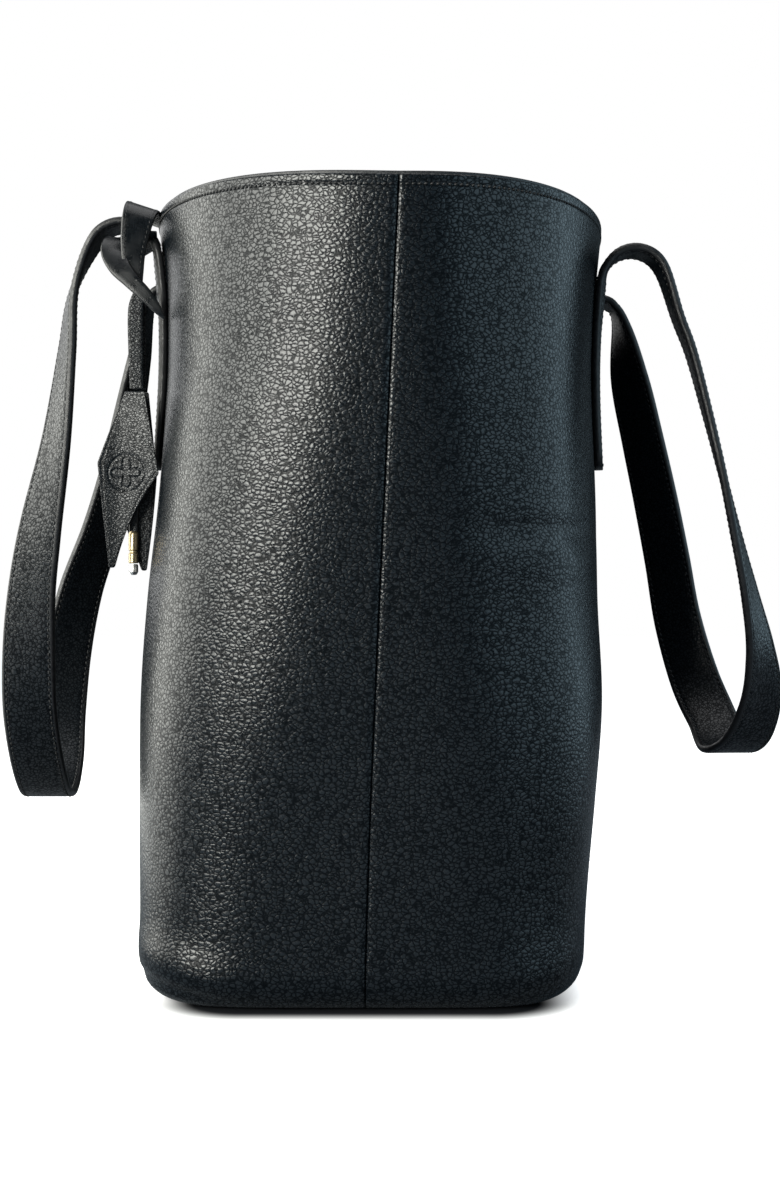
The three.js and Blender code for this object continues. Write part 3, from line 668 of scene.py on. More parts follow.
def seam_groove(side, turn, width):
    """How far the wall sinks into a side seam, with the lip of turned leather beside it."""
    away = width * np.abs(np.sin(turn))
    seam = SEAM_SHAPE[side]
    sunk = seam["dip"] * hump(away, SEAM_DIP_WIDTH) + seam["slit"] * hump(away, seam["slit_width"])
    return sunk - seam["lip"] * hump(away - SEAM_LIP_AT, SEAM_DIP_WIDTH)


def stitch_groove(drop):
    """How far the rim's stitches pull the leather in, at distances below the rim."""
    depth, width = 0.3, 0.7
    return depth * hump(drop - RIM_STITCH_DROP, width)


CREASE_DEPTH = {FRONT: 1.5, BACK: 0.4}
CREASE_WIDTH = 2.6
CREASE_BULGE_RISE = 10  # from the crease up to the bulge above it
CREASE_BULGE_WIDTH = 8.5


def corner_crease(side, points):
    """The folds that the leather makes where the base turns up at the bag's corners."""
    x, y, z = (points[..., k] for k in range(3))
    near_corner = smoothstep(95, 150, np.abs(x)) * smoothstep(30, 75, np.abs(y))
    line = 3.5 + 7 * smoothstep(55, 92, np.abs(y))
    bulge = hump(z - line - CREASE_BULGE_RISE, CREASE_BULGE_WIDTH)
    fold = hump(z - line, CREASE_WIDTH) - 0.95 * bulge
    return CREASE_DEPTH[side] * near_corner * fold


def wrap_under(turn, wraps, offset, high_z, high_inset):
    """Heights and insets of a layer: round the bag's bottom edge, then up its wall."""
    radius = BOTTOM_RADIUS - offset
    low_z = BOTTOM_RADIUS - radius * np.sin(wraps) + 0 * turn
    low_inset = BOTTOM_RADIUS - radius * np.cos(wraps) + 0 * turn
    return np.concatenate([low_z, high_z]), np.concatenate([low_inset, high_inset])


# Distances below the folded edge of the outer face's last rows, close together at the stitches.
RIM_ROWS = np.array([7.6, 6.6, 5.8, 5.2, 4.8, 4.4, 4.1, 3.8, 3.5, 3.2, 2.8, 2.3, 1.6, 0.8, 0.0])
RIM_ZONE = 9.0


def make_panel(side, turns):
    """A panel: up its outer face, over the folded rim, and down the inside."""
    turn = turns[None, :]
    rim = rim_height(side, turn)
    wraps = np.linspace(BOTTOM_TURN, 0, 11)[:-1, None]
    climbs = np.linspace(0, 1, 112)[:, None]

    def face(offset, is_outer):
        edge_start = rim - LEATHER / 2
        high_z = BOTTOM_RADIUS + (edge_start - RIM_ZONE - BOTTOM_RADIUS) * climbs
        high_z = np.concatenate([high_z, edge_start - RIM_ROWS[:, None]])
        z, inset = wrap_under(turn, wraps, offset, high_z, np.full_like(high_z, float(offset)))
        if is_outer:
            inset = inset + seam_groove(side, turn, body(side, z)) + stitch_groove(rim - z)
            inset = inset + corner_crease(side, wall(side, turn, z, 0))
        return skin(side, turn, z, inset)

    bend = np.linspace(0, math.pi, 8)[1:-1, None]
    edge_z = rim - LEATHER / 2 + LEATHER / 2 * np.sin(bend)
    edge_inset = LEATHER / 2 * (1 - np.cos(bend)) + seam_groove(side, turn, 100.0) * np.cos(bend / 2)
    edge = skin(side, turn, edge_z, edge_inset)
    return shell(np.concatenate([face(0, True), edge, face(LEATHER, False)[::-1]]))


def band_rows(side, turns, low, high, offset, thickness, rows):
    """Rows of a thin layer of the wall between two heights (as functions of turn), with a
    rounded top edge."""
    turn = turns[None, :]
    bottom, top = low(turn), high(turn) - thickness / 2
    z = bottom + (top - bottom) * np.linspace(0, 1, rows)[:, None]
    bend = np.linspace(0, math.pi, 6)[1:-1, None]
    outer = skin(side, turn, z, offset(z, turn))
    edge_inset = offset(top, turn) + thickness / 2 * (1 - np.cos(bend))
    edge = skin(side, turn, top + thickness / 2 * np.sin(bend), edge_inset)
    inner = skin(side, turn, z, offset(z, turn) + thickness)[::-1]
    return np.concatenate([outer, edge, inner])


FACING_GROOVE = 0.15  # share of the outer groove that shows on the facing
SEWN_FROM_SEAM = 0.02  # the turn between a side seam and the first rim stitch
STITCH_PROUD_INSET = 0.15
LOWER_SEAM_RISE = 3  # from the facing's lower edge up to its seam
RIM_STITCH = {"length": 1.6, "radius": 0.5}
TURNS = even_turns(2.6)
COARSE_TURNS = even_turns(5.0)
LINING_TURNS = even_turns(4.0)
FACING_INSET = LEATHER + LAYER_GAP
SIDES = {"front": FRONT, "back": BACK}


def rim_line(side, drop, offset, turns):
    """A line along the wall at a distance below the rim, with its outward directions."""
    z = rim_height(side, turns) - drop
    line = skin(side, turns, z, np.full_like(turns, float(offset)))
    return line, wall_out(side, turns, z)


for label, side in SIDES.items():
    points, faces = make_panel(side, TURNS)
    panel = make_piece(f"{label}_panel_leather", points, faces, PEBBLED)
    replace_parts(panel, f"{label}_panel")

    facing = band_rows(
        side, COARSE_TURNS,
        lambda turn, side=side: rim_height(side, turn) - FACING_DEPTH,
        lambda turn, side=side: rim_height(side, turn) + FACING_PROUD,
        lambda z, turn, side=side: FACING_INSET
        - FACING_GROOVE * stitch_groove(rim_height(side, turn) - z),
        FACING_THICK, 30,
    )
    points, faces = shell(facing)
    facing = make_piece(f"{label}_facing_leather", points, faces, SMOOTH)
    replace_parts(facing, f"{label}_facing")

    sewn = TURNS[(TURNS > SEWN_FROM_SEAM) & (TURNS < math.pi - SEWN_FROM_SEAM)]
    outside, out = rim_line(side, RIM_STITCH_DROP, STITCH_PROUD_INSET, sewn)
    inside, _ = rim_line(side, RIM_STITCH_DROP, FACING_INSET + FACING_THICK, sewn)
    lower, _ = rim_line(side, FACING_DEPTH - LOWER_SEAM_RISE, FACING_INSET + FACING_THICK, sewn)
    runs = [(outside, out), (inside, -out), (lower, -out)]
    make_stitches(f"{label}_rim_stitching", runs, RIM_THREAD, "plain_leather", **RIM_STITCH)


def plate(inset, z, thickness, spacing=64):
    """A flat plate with the bag's outline, as rings from its middle out, over its edge and back."""
    turns = np.concatenate([np.linspace(0, math.pi, spacing + 1)[:-1]] * 2)
    sides = np.repeat([BACK, FRONT], spacing)
    ring = np.array([
        wall(side, t if side == BACK else math.pi - t, float(z), inset)
        for side, t in zip(sides, turns)
    ])
    shares = np.linspace(0.02, 0.985, 12)
    rings = [ring * [s, s, 1] for s in shares]
    top = [one + [0, 0, thickness] for one in rings]
    edge = ring + [0, 0, thickness / 2]
    return tube([*rings, edge, *top[::-1]])


BASE_INSET = 11.7
BASE_LINING_INSET = 13.2
BASE_STITCH_INSET = 15.5

points, faces = plate(BASE_INSET, 0, LEATHER)
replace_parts(make_piece("base_leather", points, faces, PEBBLED), "base_panel")
points, faces = plate(BASE_LINING_INSET, LINING_OFFSET, LINING_THICK)
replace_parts(make_piece("base_lining_cloth", points, faces, LINING), "base_lining")


def ring_at(inset, z):
    """A closed line round the bag."""
    turns = np.linspace(0.0, math.pi, 181)
    back = wall(BACK, turns, np.full_like(turns, float(z)), inset)
    front = wall(FRONT, turns[::-1], np.full_like(turns, float(z)), inset)
    return np.concatenate([back, front[1:]])


base_line = ring_at(BASE_STITCH_INSET, 0.12)
down = np.tile([0.0, 0.0, -1.0], (len(base_line), 1))
make_stitches("base_stitching", [(base_line, down)], THREAD, "plain_leather", radius=0.2)


# ---- Linings ----

def cloth_waves(points):
    """Shallow upright waves of loose lining."""
    x, y, z = (points[..., k] for k in range(3))
    along = x + 1.3 * y
    wave = np.sin(along / 11.0 + 0.012 * z) + 0.6 * np.sin(along / 6.1 - 0.02 * z + 1.7)
    return wave * smoothstep(20, 80, z) * (1 - smoothstep(240, 285, z))


WAVE_DEPTH = 0.55
# The back lining is flat round the zip pocket: up to the first of these distances from the
# middle and free from the second, flat from 98 to 266 high, and free below 60 and above 290.
FLAT_HALF_WIDTH = (98, 135)
FLAT_LOWER = (60, 98)
FLAT_UPPER = (266, 290)


def loosen(points, extra, side):
    """Gives the lining its waves, and makes the back one flat where the zip pocket holds it."""
    points = points.copy()
    waves = WAVE_DEPTH * cloth_waves(points)
    if side == BACK:
        across = 1 - smoothstep(*FLAT_HALF_WIDTH, np.abs(points[..., 0]))
        up = smoothstep(*FLAT_LOWER, points[..., 2]) * (1 - smoothstep(*FLAT_UPPER, points[..., 2]))
        held = across * up
        flat = POCKET_PLANE + LINING_THICK - extra
        points[..., 1] += (flat - points[..., 1]) * held
        waves = waves * (1 - held)
    points[..., 1] -= side * np.abs(waves)
    return points


def lining_offset(z, top):
    """The lining hangs close behind the facing and further in below it."""
    return FACING_INSET + (LINING_OFFSET - FACING_INSET) * smoothstep(0, 45, top - z)


def make_lining(side, turns):
    """A panel's lining: up its outer face and down its inner one."""
    turn = turns[None, :]
    top = rim_height(side, turn) - FACING_DEPTH - LAYER_GAP
    wraps = np.linspace(BOTTOM_TURN, 0, 6)[:-1, None]
    climbs = np.linspace(0, 1, 60)[:, None]

    def face(extra):
        high_z = BOTTOM_RADIUS + (top - BOTTOM_RADIUS) * climbs
        high_inset = lining_offset(high_z, top) + extra
        z, inset = wrap_under(turn, wraps, LINING_OFFSET + extra, high_z, high_inset)
        return loosen(skin(side, turn, z, inset), extra, side)

    return shell(np.concatenate([face(0.0), face(LINING_THICK)[::-1]]))


def apply_modifiers(piece):
    """Makes the shape that a piece's modifiers give it its own."""
    depsgraph = bpy.context.evaluated_depsgraph_get()
    shaped = bpy.data.meshes.new_from_object(piece.evaluated_get(depsgraph))
    piece.modifiers.clear()
    piece.data = shaped


def cut_box(piece, low, high):
    """Cuts a box-shaped window out of a piece."""
    corners, faces = box_solid(low, high)
    cutter = make_piece("window_cutter", corners, faces, LINING, None)
    modifier = piece.modifiers.new("window", "BOOLEAN")
    modifier.operation = "DIFFERENCE"
    modifier.solver = "EXACT"
    modifier.object = cutter
    apply_modifiers(piece)
    bpy.data.objects.remove(cutter)


WINDOW_HALF_LENGTH = ZIP_LENGTH / 2 + 4
WINDOW_HALF_HEIGHT = 8
WINDOW_Y = (80, 96)
for label, side in SIDES.items():
    points, faces = make_lining(side, LINING_TURNS)
    cloth = make_piece(f"{label}_lining_cloth", points, faces, LINING)
    if side == BACK:
        low = (-WINDOW_HALF_LENGTH, WINDOW_Y[0], ZIP_Z - WINDOW_HALF_HEIGHT)
        high = (WINDOW_HALF_LENGTH, WINDOW_Y[1], ZIP_Z + WINDOW_HALF_HEIGHT)
        cut_box(cloth, low, high)
    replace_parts(cloth, f"{label}_lining")


# ---- Straps ----

def centripetal(points, per_span=24):
    """A centripetal Catmull-Rom curve through points, and the index along it of each sample."""
    points = np.asarray(points, float)
    padded = np.concatenate([[2 * points[0] - points[1]], points, [2 * points[-1] - points[-2]]])
    samples, places = [], []
    t = np.linspace(0, 1, per_span, endpoint=False)[:, None]
    for i in range(len(points) - 1):
        p0, p1, p2, p3 = padded[i:i + 4]
        d0, d1, d2 = (max(np.linalg.norm(b - a) ** 0.5, 1e-4) for a, b in ((p0, p1), (p1, p2), (p2, p3)))
        m1 = ((p1 - p0) / d0 - (p2 - p0) / (d0 + d1) + (p2 - p1) / d1) * d1
        m2 = ((p2 - p1) / d1 - (p3 - p1) / (d1 + d2) + (p3 - p2) / d2) * d1
        square = -3 * p1 + 3 * p2 - 2 * m1 - m2
        cube = 2 * p1 - 2 * p2 + m1 + m2
        samples.append(p1 + t * m1 + t**2 * square + t**3 * cube)
        places.append(i + t[:, 0])
    samples.append(points[-1:])
    places.append(np.array([len(points) - 1.0]))
    return np.concatenate(samples), np.concatenate(places)


def leg_start(leg, side):
    """The sewn end and the arch of one leg, from the bottom of the sewn end outwards."""
    off = STRAP_WALL_GAP + STRAP_THICK / 2
    route = []
    for z in np.linspace(TAB_BOTTOM, leg["base"], 5):
        route.append([leg["x"], float(wall_y(side, leg["x"], z, 0)) + side * off, z, leg["wall"]])
    start_y = route[-1][1]
    for degrees in (30, 60, 90, 120, 150):
        turn = math.radians(degrees)
        y = start_y + side * leg["radius"] * (1 - math.cos(turn))
        route.append([leg["x"], y, leg["base"] + leg["radius"] * math.sin(turn), leg["arch"]])
    return route


class Strap:
    """A stretch of strap: evenly spaced places with its along, face and width directions."""

    def __init__(self, side, line, normal, width, held):
        self.side = side
        self.line, self.normal, self.width, self.held = line, normal, width, held
        self.length = running_length(line)

    def part(self, first, last):
        rows = slice(first, last + 1)
        values = (self.line, self.normal, self.width, self.held)
        return Strap(self.side, *(value[rows] for value in values))

    def place(self, across, out):
        """Points at distances across the strap and out from its middle. The sewn ends are
        pressed on to the wall."""
        across = np.broadcast_to(across, self.length.shape)[:, None]
        middle = self.line + across * self.width
        surface = middle.copy()
        surface[:, 1] = wall_y(self.side, middle[:, 0], middle[:, 2], 0)
        wanted = surface[:, 1] + self.side * (push_at(surface) + STRAP_THICK / 2)
        points = middle + out * self.normal
        points[:, 1] += self.held * (wanted - middle[:, 1])
        return points


def strap_peaks(line):
    """Where the two arches of a strap are highest."""
    quarter = len(line) // 4
    return int(np.argmax(line[:quarter, 2])), len(line) - 1 - int(np.argmax(line[::-1][:quarter, 2]))


def lay_strap(handle, spacing=1.8):
    """The whole strap, and the places of its two peaks."""
    side = handle["side"]
    route = leg_start(handle["near"], side) + handle["hang"] + leg_start(handle["far"], side)[::-1]
    line, places = centripetal([entry[:3] for entry in route])
    angle = np.radians(spline(np.arange(len(route)), [entry[3] for entry in route], places))
    hint = np.stack([np.cos(angle), np.sin(angle), np.zeros_like(angle)], axis=1)
    line, hint = resample(line, spacing, hint)
    along = normalise(np.gradient(line, axis=0))
    normal = normalise(np.cross(along, hint))
    width = np.cross(normal, along)
    peaks = strap_peaks(line)
    held = np.zeros(len(line))
    for leg, rows in (("near", slice(0, peaks[0])), ("far", slice(peaks[1], None))):
        base = handle[leg]["base"]
        held[rows] = 1 - smoothstep(base - 24, base - 1, line[rows, 2])
    return Strap(side, line, normal, width, held), *peaks


STRAP_EDGE = 1.5
STRAP_GROOVE = 0.4
STRAP_GROOVE_HALF = 0.45
STRAP_END_RADIUS = 7.0


def strap_section(thickness, half_width, stitch_inset):
    """The strap's outline as [across, out], from one edge over its face to the other and back.
    The second value says which finish each stretch has: 0 face, 1 edge, 2 back."""
    stitch = half_width - stitch_inset
    flat = half_width - STRAP_EDGE
    groove = [-stitch - STRAP_GROOVE_HALF, -stitch, -stitch + STRAP_GROOVE_HALF]
    spots = [-flat, *groove, -stitch + 1.4, -stitch / 2, 0]
    spots = spots + [-s for s in spots[-2::-1]]

    def height(w):
        channel = STRAP_GROOVE * math.exp(-(((abs(w) - stitch) / 0.5) ** 2))
        return thickness / 2 - 0.18 * smoothstep(stitch - 0.6, half_width, abs(w)) - channel

    outline = [(w, height(w)) for w in spots]
    rim = height(flat)
    turns = np.linspace(math.pi / 2, -math.pi / 2, 8)[1:-1]
    outline += [(flat + STRAP_EDGE * math.cos(t), rim * math.sin(t)) for t in turns]
    outline += [(w, -height(w)) for w in reversed(spots)]
    outline += [(-flat - STRAP_EDGE * math.cos(t), rim * math.sin(t)) for t in turns[::-1]]
    face_count = len(spots) - 1
    kinds = [0] * face_count + [1] * 7 + [2] * face_count + [1] * 7
    return np.array(outline), kinds


def end_taper(along_mm, total, radius, half_width, at_start, at_end):
    """The width's share of full, for ends with rounded corners."""
    share = np.ones_like(along_mm)
    for wanted, distance in ((at_start, along_mm), (at_end, total - along_mm)):
        if wanted:
            short = np.clip(radius - distance, 0, radius)
            cut_back = radius - np.sqrt(np.maximum(radius**2 - short**2, 0))
            share = np.minimum(share, 1 - cut_back / half_width)
    return share


def make_strap(name, strap, rounded=(False, False)):
    """A length of strap, with its first and last end rounded or cut straight."""
    outline, kinds = strap_section(STRAP_THICK, STRAP_WIDTH / 2, STRAP_STITCH_INSET)
    length = strap.length
    taper = end_taper(length, length[-1], STRAP_END_RADIUS, STRAP_WIDTH / 2, *rounded)
    sections = np.stack([strap.place(w * taper, n) for w, n in outline], axis=1)
    points, faces = tube(sections)
    picks = kinds * (len(length) - 1) + [1, 1]
    around = running_length(np.concatenate([outline, outline[:1]]))[:-1]
    uv = np.stack(np.broadcast_arrays(around[None, :], length[:, None]), axis=-1).reshape(-1, 2) * MM
    materials = [STRAP_FACE, EDGE, STRAP_BACK]
    return make_piece(name, points, faces, materials, None, sharp=60, picks=picks, uv=uv)


def strap_stitch_runs(strap, skip_start=0.0, skip_end=0.0):
    """The two rows of stitches along a strap, on both of its faces."""
    keep = (strap.length >= skip_start) & (strap.length <= strap.length[-1] - skip_end)
    reach = STRAP_WIDTH / 2 - STRAP_STITCH_INSET
    runs = []
    for edge in (-reach, reach):
        for face in (1, -1):
            line = strap.place(edge, face * (STRAP_THICK / 2 - 0.3))
            runs.append((line[keep], face * strap.normal[keep]))
    return runs


def strap_sewing(name, runs):
    return make_stitches(name, runs, THREAD, "plain_leather", None, **STRAP_STITCH)


def end_stitches(strap, at):
    """A bar of stitches across the strap, a distance from its start, on its outer face."""
    spread = STRAP_WIDTH / 2 - STRAP_STITCH_INSET
    k = int(np.argmin(np.abs(strap.length - at)))
    out = -strap.normal[k]
    bar = [strap.place(w, -(STRAP_THICK / 2 - 0.1))[k] for w in np.linspace(-spread, spread, 11)]
    return np.array(bar), np.tile(out, (len(bar), 1))


BAR_STITCHES = (2.6, 78.0)  # distances of the sewn end's two cross seams from its tip
for label, handle in HANDLES.items():
    strap, near_peak, far_peak = lay_strap(handle)
    line = strap.line
    side = handle["side"]
    for leg, first, last, rounded in (
        ("near", 0, near_peak, (True, False)),
        ("far", far_peak, len(line) - 1, (False, True)),
    ):
        part = strap.part(first, last)
        sewn_end = make_strap(f"{label}_strap_{leg}", part, rounded)
        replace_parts(sewn_end, f"{label}_tab_{leg}")
        ends = (3.0, 0.0) if leg == "near" else (0.0, 3.0)
        runs = strap_stitch_runs(part, *ends)
        total = part.length[-1]
        for distance in BAR_STITCHES:
            runs.append(end_stitches(part, distance if leg == "near" else total - distance))
        sewing = strap_sewing(f"{label}_strap_{leg}_stitching", runs)
        peak = line[near_peak if leg == "near" else far_peak] * MM
        reach = handle[leg]["radius"] * MM
        rise = peak[2] - handle[leg]["base"] * MM
        # start is the foot of the arch: in from the peak by the arch's radius, level with its base; the
        # wall swells below it.
        start = peak - [0, side * reach, rise]
        for piece in (sewn_end, sewing):
            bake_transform(piece)
    loop = strap.part(near_peak, far_peak)
    hanging_loop = make_strap(f"{label}_strap_loop", loop)
    nodes = ("handle_outer", "handle_lining", "arch_near", "arch_far")
    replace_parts(hanging_loop, *(f"{label}_{node}" for node in nodes))
    runs = strap_stitch_runs(loop)
    sewing = strap_sewing(f"{label}_strap_loop_stitching", runs)
    near, far = line[near_peak] * MM, line[far_peak] * MM
    # The two arches peak at slightly different distances out; start lies midway between them, at the near
    # peak's height.
    reach = handle["near"]["radius"] * MM
    middle = (near[1] + far[1]) / 2
    start = (0.0, middle, near[2])
    for piece in (hanging_loop, sewing):
        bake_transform(piece)


# ---- The charm ----

def ribbon_section(half_width, thickness, edge=0.55):
    """A thin strip's outline: two faces with rounded edges."""
    turns = np.linspace(math.pi / 2, -math.pi / 2, 7)
    flat = half_width - edge
    right = [(flat + edge * math.cos(t), thickness / 2 * math.sin(t)) for t in turns]
    left = [(-w, -n) for w, n in right]
    top = [(-flat / 2, thickness / 2), (0, thickness / 2), (flat / 2, thickness / 2)]
    under = [(-w, -n) for w, n in top]
    return np.array(top + right + under + left)


def ribbon(name, route, thickness, material, body_name, spacing=0.7):
    """A leather strip along [x, y, z, width, nx, ny, nz]: its place, width and face direction."""
    route = np.asarray(route, float)
    line, places = centripetal(route[:, :3], 16)
    index = np.arange(len(route))
    widths = spline(index, route[:, 3], places)[:, None]
    hints = np.stack([spline(index, route[:, 4 + k], places) for k in range(3)], axis=1)
    line, widths, hints = resample(line, spacing, widths, hints)
    along = normalise(np.gradient(line, axis=0))
    width = normalise(np.cross(along, hints))
    normal = np.cross(width, along)
    sections = []
    for k in range(len(line)):
        outline = ribbon_section(widths[k, 0] / 2, thickness)
        sections.append(line[k] + outline[:, :1] * width[k] + outline[:, 1:] * normal[k])
    points, faces = tube(sections)
    piece = make_piece(name, points, faces, material, body_name, sharp=60)
    return piece, (line, normal, width, widths[:, 0])


def ribbon_edge(frames, inset, thickness, which, face=1):
    line, normal, width, widths = frames
    reach = which * (widths / 2 - inset)
    out = normal * face
    return line + reach[:, None] * width + (thickness / 2) * out, out


# The band over the strap, down in front of its near edge; the bight, which comes from under the
# strap and crosses in front of the band's lower end; and the turn of the band under the strap.
hitch_routes = {
    "charm_hitch_band": [
        [58, -98.0, 333.6, 14, -0.1, 0.35, 0.94], [69, -98.6, 336.4, 15, 0, 0.3, 0.95],
        [78.4, -99.4, 336.8, 15, 0.3, 0.3, 0.9], [83.2, -100.4, 332.6, 14.2, 0.95, 0.2, 0.3],
        [85.2, -101.6, 325, 12.8, 1, 0.2, 0.1], [86.6, -102.4, 316, 10.8, 1, 0.15, 0.02],
        [87.8, -102.0, 307, 8.6, 1, 0.12, 0], [88.4, -101.4, 300.6, 6.6, 1, 0.1, 0],
    ],
    "charm_hitch_bight": [
        [70, -105.5, 324.0, 8, 0.1, 0.5, -0.85], [79.5, -109.6, 322.6, 10.5, 0.75, -0.3, -0.55],
        [85.4, -111.3, 316.6, 11, 0.95, 0.2, -0.2], [89.0, -108.4, 309.4, 9.4, 0.95, 0.25, -0.1],
        [91.2, -103.0, 303.0, 7.2, 0.97, 0.2, 0.0], [92.0, -97.0, 297.0, 6.2, 0.97, 0.15, 0.0],
        [91.8, -91.8, 290.8, 4.2, 0.97, 0.1, 0], [90.8, -88.4, 286.2, 1.4, 0.95, 0.1, 0],
    ],
    "charm_hitch_under": [
        [56, -98, 322.0, 10, 0, 0.5, -0.85], [70, -98.4, 321.4, 12, 0, 0.5, -0.85],
        [80.2, -98.4, 321.8, 12, 0.7, 0.4, -0.6], [83.2, -98.0, 325.6, 11, 1, 0.1, 0],
    ],
}
HITCH_THICK = 1.7
HITCH_STITCH_INSET = 1.6
hitch_frames = {}
for name, route in hitch_routes.items():
    piece, hitch_frames[name] = ribbon(name, route, HITCH_THICK, HITCH_LEATHER, None)
    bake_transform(piece)
    if name == "charm_hitch_band":
        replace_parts(piece, "charm_hitch")
band = hitch_frames["charm_hitch_band"]
band_runs = [ribbon_edge(band, HITCH_STITCH_INSET, HITCH_THICK, which) for which in (-1, 1)]
sewing = make_stitches("charm_hitch_stitching", band_runs, THREAD, "plain_leather", None, radius=0.26)
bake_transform(sewing)

strap_routes = {
    "charm_strap_front": [
        [90.0, -99.4, 298.6, 4.4, 1, -0.03, 0], [90.2, -100.7, 291, 6.8, 1, -0.03, 0],
        [90.2, -100.8, 272, 6.6, 1, -0.05, 0], [90.0, -100.4, 256, 6.2, 1, -0.06, 0],
    ],
    "charm_strap_back": [
        [88.0, -99.4, 298.6, 4.4, 1, 0.1, 0], [88.0, -99.9, 291, 6.0, 1, 0.1, 0],
        [88.1, -99.8, 272, 6.0, 1, 0.1, 0], [88.1, -99.6, 256, 6.0, 1, 0.1, 0],
    ],
}
CHARM_STRAP_THICK = 1.5
CHARM_STITCH_INSET = 1.2
CHARM_STITCH = {"radius": 0.24, "pitch": 2.2, "length": 1.6}
for name, route in strap_routes.items():
    piece, frames = ribbon(name, route, CHARM_STRAP_THICK, LEAF_FACE, "charm_hanger")
    runs = [ribbon_edge(frames, CHARM_STITCH_INSET, CHARM_STRAP_THICK, which) for which in (-1, 1)]
    make_stitches(f"{name}_stitching", runs, THREAD, "plain_leather", "charm_hanger", **CHARM_STITCH)
    if name == "charm_strap_front":
        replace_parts(piece, "charm_strap")


def leaf_outline(corners, waist):
    """The leaf's outline as [y, z], with rounded corners and one side drawn in."""
    top_left, top_right, right, tip_right, tip_left, left = (np.array(c, float) for c in corners)
    bow = np.linspace(0, 1, 15)[:, None]
    inward = (1 - bow) ** 2 * right + 2 * bow * (1 - bow) * np.array(waist, float) + bow**2 * tip_right
    rest = [tip_right, tip_left, left, top_left]
    loop = np.concatenate([[top_left, top_right, right], inward[1:-1], rest])
    dense, = resample(loop, 0.5)
    padded = np.concatenate([dense[-6:-1], dense[:-1], dense[:5]])
    kernel = np.array([1, 2, 3, 2, 1]) / 9
    smooth = np.stack([np.convolve(padded[:, k], kernel, "same") for k in range(2)], axis=1)
    return smooth[5:-5]


def star_emboss(points, middle, size):
    """A plain four-petal star pressed into the leather: how deep it is at each place."""
    offset = (points - middle) / size
    distance = np.linalg.norm(offset, axis=-1)
    angle = np.arctan2(offset[..., 1], offset[..., 0])
    petal = 0.35 + 0.65 * np.abs(np.cos(2 * angle)) ** 1.5
    ring_radius = 1.22
    return hump(distance - petal, 0.09) + 0.8 * hump(distance - ring_radius, 0.07)


LEAF_THICK = 1.9
LEAF_STITCH_INSET = 1.7
LEAF_STITCH_GROOVE = 0.22
EMBOSS_DEPTH = 0.45
LEAF_STITCH = {"radius": 0.25, "pitch": 2.1, "length": 1.5}


def make_leaf(name, corners, waist, x, curl, emboss=None):
    """A leather leaf in the YZ plane: rings from its middle out, over its edge and back."""
    outline = leaf_outline(corners, waist)
    middle = outline.mean(axis=0) + [0, 4]
    spokes = np.linalg.norm(outline - middle, axis=1)
    shares = np.concatenate([np.linspace(0.03, 0.9, 36), [0.93, 0.955, 0.975, 0.99]])

    def lifted(flat, out):
        points = np.zeros((len(flat), 3))
        points[:, 1:] = flat
        points[:, 0] = x + out + curl(flat)
        return points

    near, far = [], []
    for share in shares:
        flat = middle + (outline - middle) * share
        press = 0.0
        if emboss is not None:
            press = EMBOSS_DEPTH * star_emboss(flat, *emboss)
        to_edge = (1 - share) * spokes
        sewn = LEAF_STITCH_GROOVE * hump(to_edge - LEAF_STITCH_INSET, 0.45)
        puff = LEAF_THICK / 2 * (1 - 0.25 * math.exp(-((1 - share) / 0.02)))
        near.append(lifted(flat, puff - press - sewn))
        far.append(lifted(flat, -puff + sewn))
    edge = lifted(outline, 0.0)
    points, faces = tube([*near, edge, *far[::-1]])
    piece = make_piece(name, points, faces, LEAF_FACE, "charm_tag", sharp=60)
    inset = middle + (outline - middle) * (1 - LEAF_STITCH_INSET / spokes)[:, None]
    closed = np.concatenate([inset, inset[:1]])
    runs = []
    for out in (1, -1):
        line = lifted(closed, out * (LEAF_THICK / 2 - 0.12))
        runs.append((line, np.tile([float(out), 0.0, 0.0], (len(line), 1))))
    make_stitches(f"{name}_stitching", runs, THREAD, "plain_leather", "charm_tag", **LEAF_STITCH)
    return piece


LEAF_TOP = 254.7
STAR = ((-104.2, 219), 6.6)  # the star's middle and size


def front_curl(flat):
    """How far the front leaf's surface stands out along +X: it is turned, with lifted edges."""
    y, z = flat[:, 0], flat[:, 1]
    lifted_edges = 1.0 * smoothstep(-100, -88, y) + 2.2 * smoothstep(-106, -120, y)
    return 0.19 * (y + 104) + lifted_edges - 2.0 * smoothstep(232, 256, z)


def back_curl(flat):
    """How far the back leaf's surface stands out along +X."""
    return 1.2 * smoothstep(232, 256, flat[:, 1]) - 1.0 * smoothstep(-104, -116, flat[:, 0])


leaf = make_leaf(
    "charm_leaf_front_leather",
    [(-105.4, LEAF_TOP), (-96.8, LEAF_TOP), (-90.0, 218.4), (-109.6, 178), (-112.2, 178), (-117.2, 223.5)],
    (-103.5, 202), CHARM_X + 4.8, front_curl, STAR,
)
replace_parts(leaf, "charm_leaf_front")
leaf = make_leaf(
    "charm_leaf_back_leather",
    [(-104.6, LEAF_TOP), (-95.6, LEAF_TOP), (-92.2, 217.5), (-96.6, 176.8), (-98.9, 176.8), (-115, 222)],
    (-93.6, 198), CHARM_X - 3.2, back_curl,
)
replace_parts(leaf, "charm_leaf_back")

tongue_route = [
    [CHARM_X, -101.4, 252, 6, 1, 0, 0], [CHARM_X, -101.5, 238, 5.6, 1, 0, 0],
    [CHARM_X, -101.7, 215, 4.8, 1, 0, 0], [CHARM_X, -102, 193.5, 4, 1, 0, 0],
]
tongue, _ = ribbon("charm_tongue_leather", tongue_route, 1.6, HITCH_LEATHER, "charm_clip")
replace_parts(tongue, "charm_tongue")


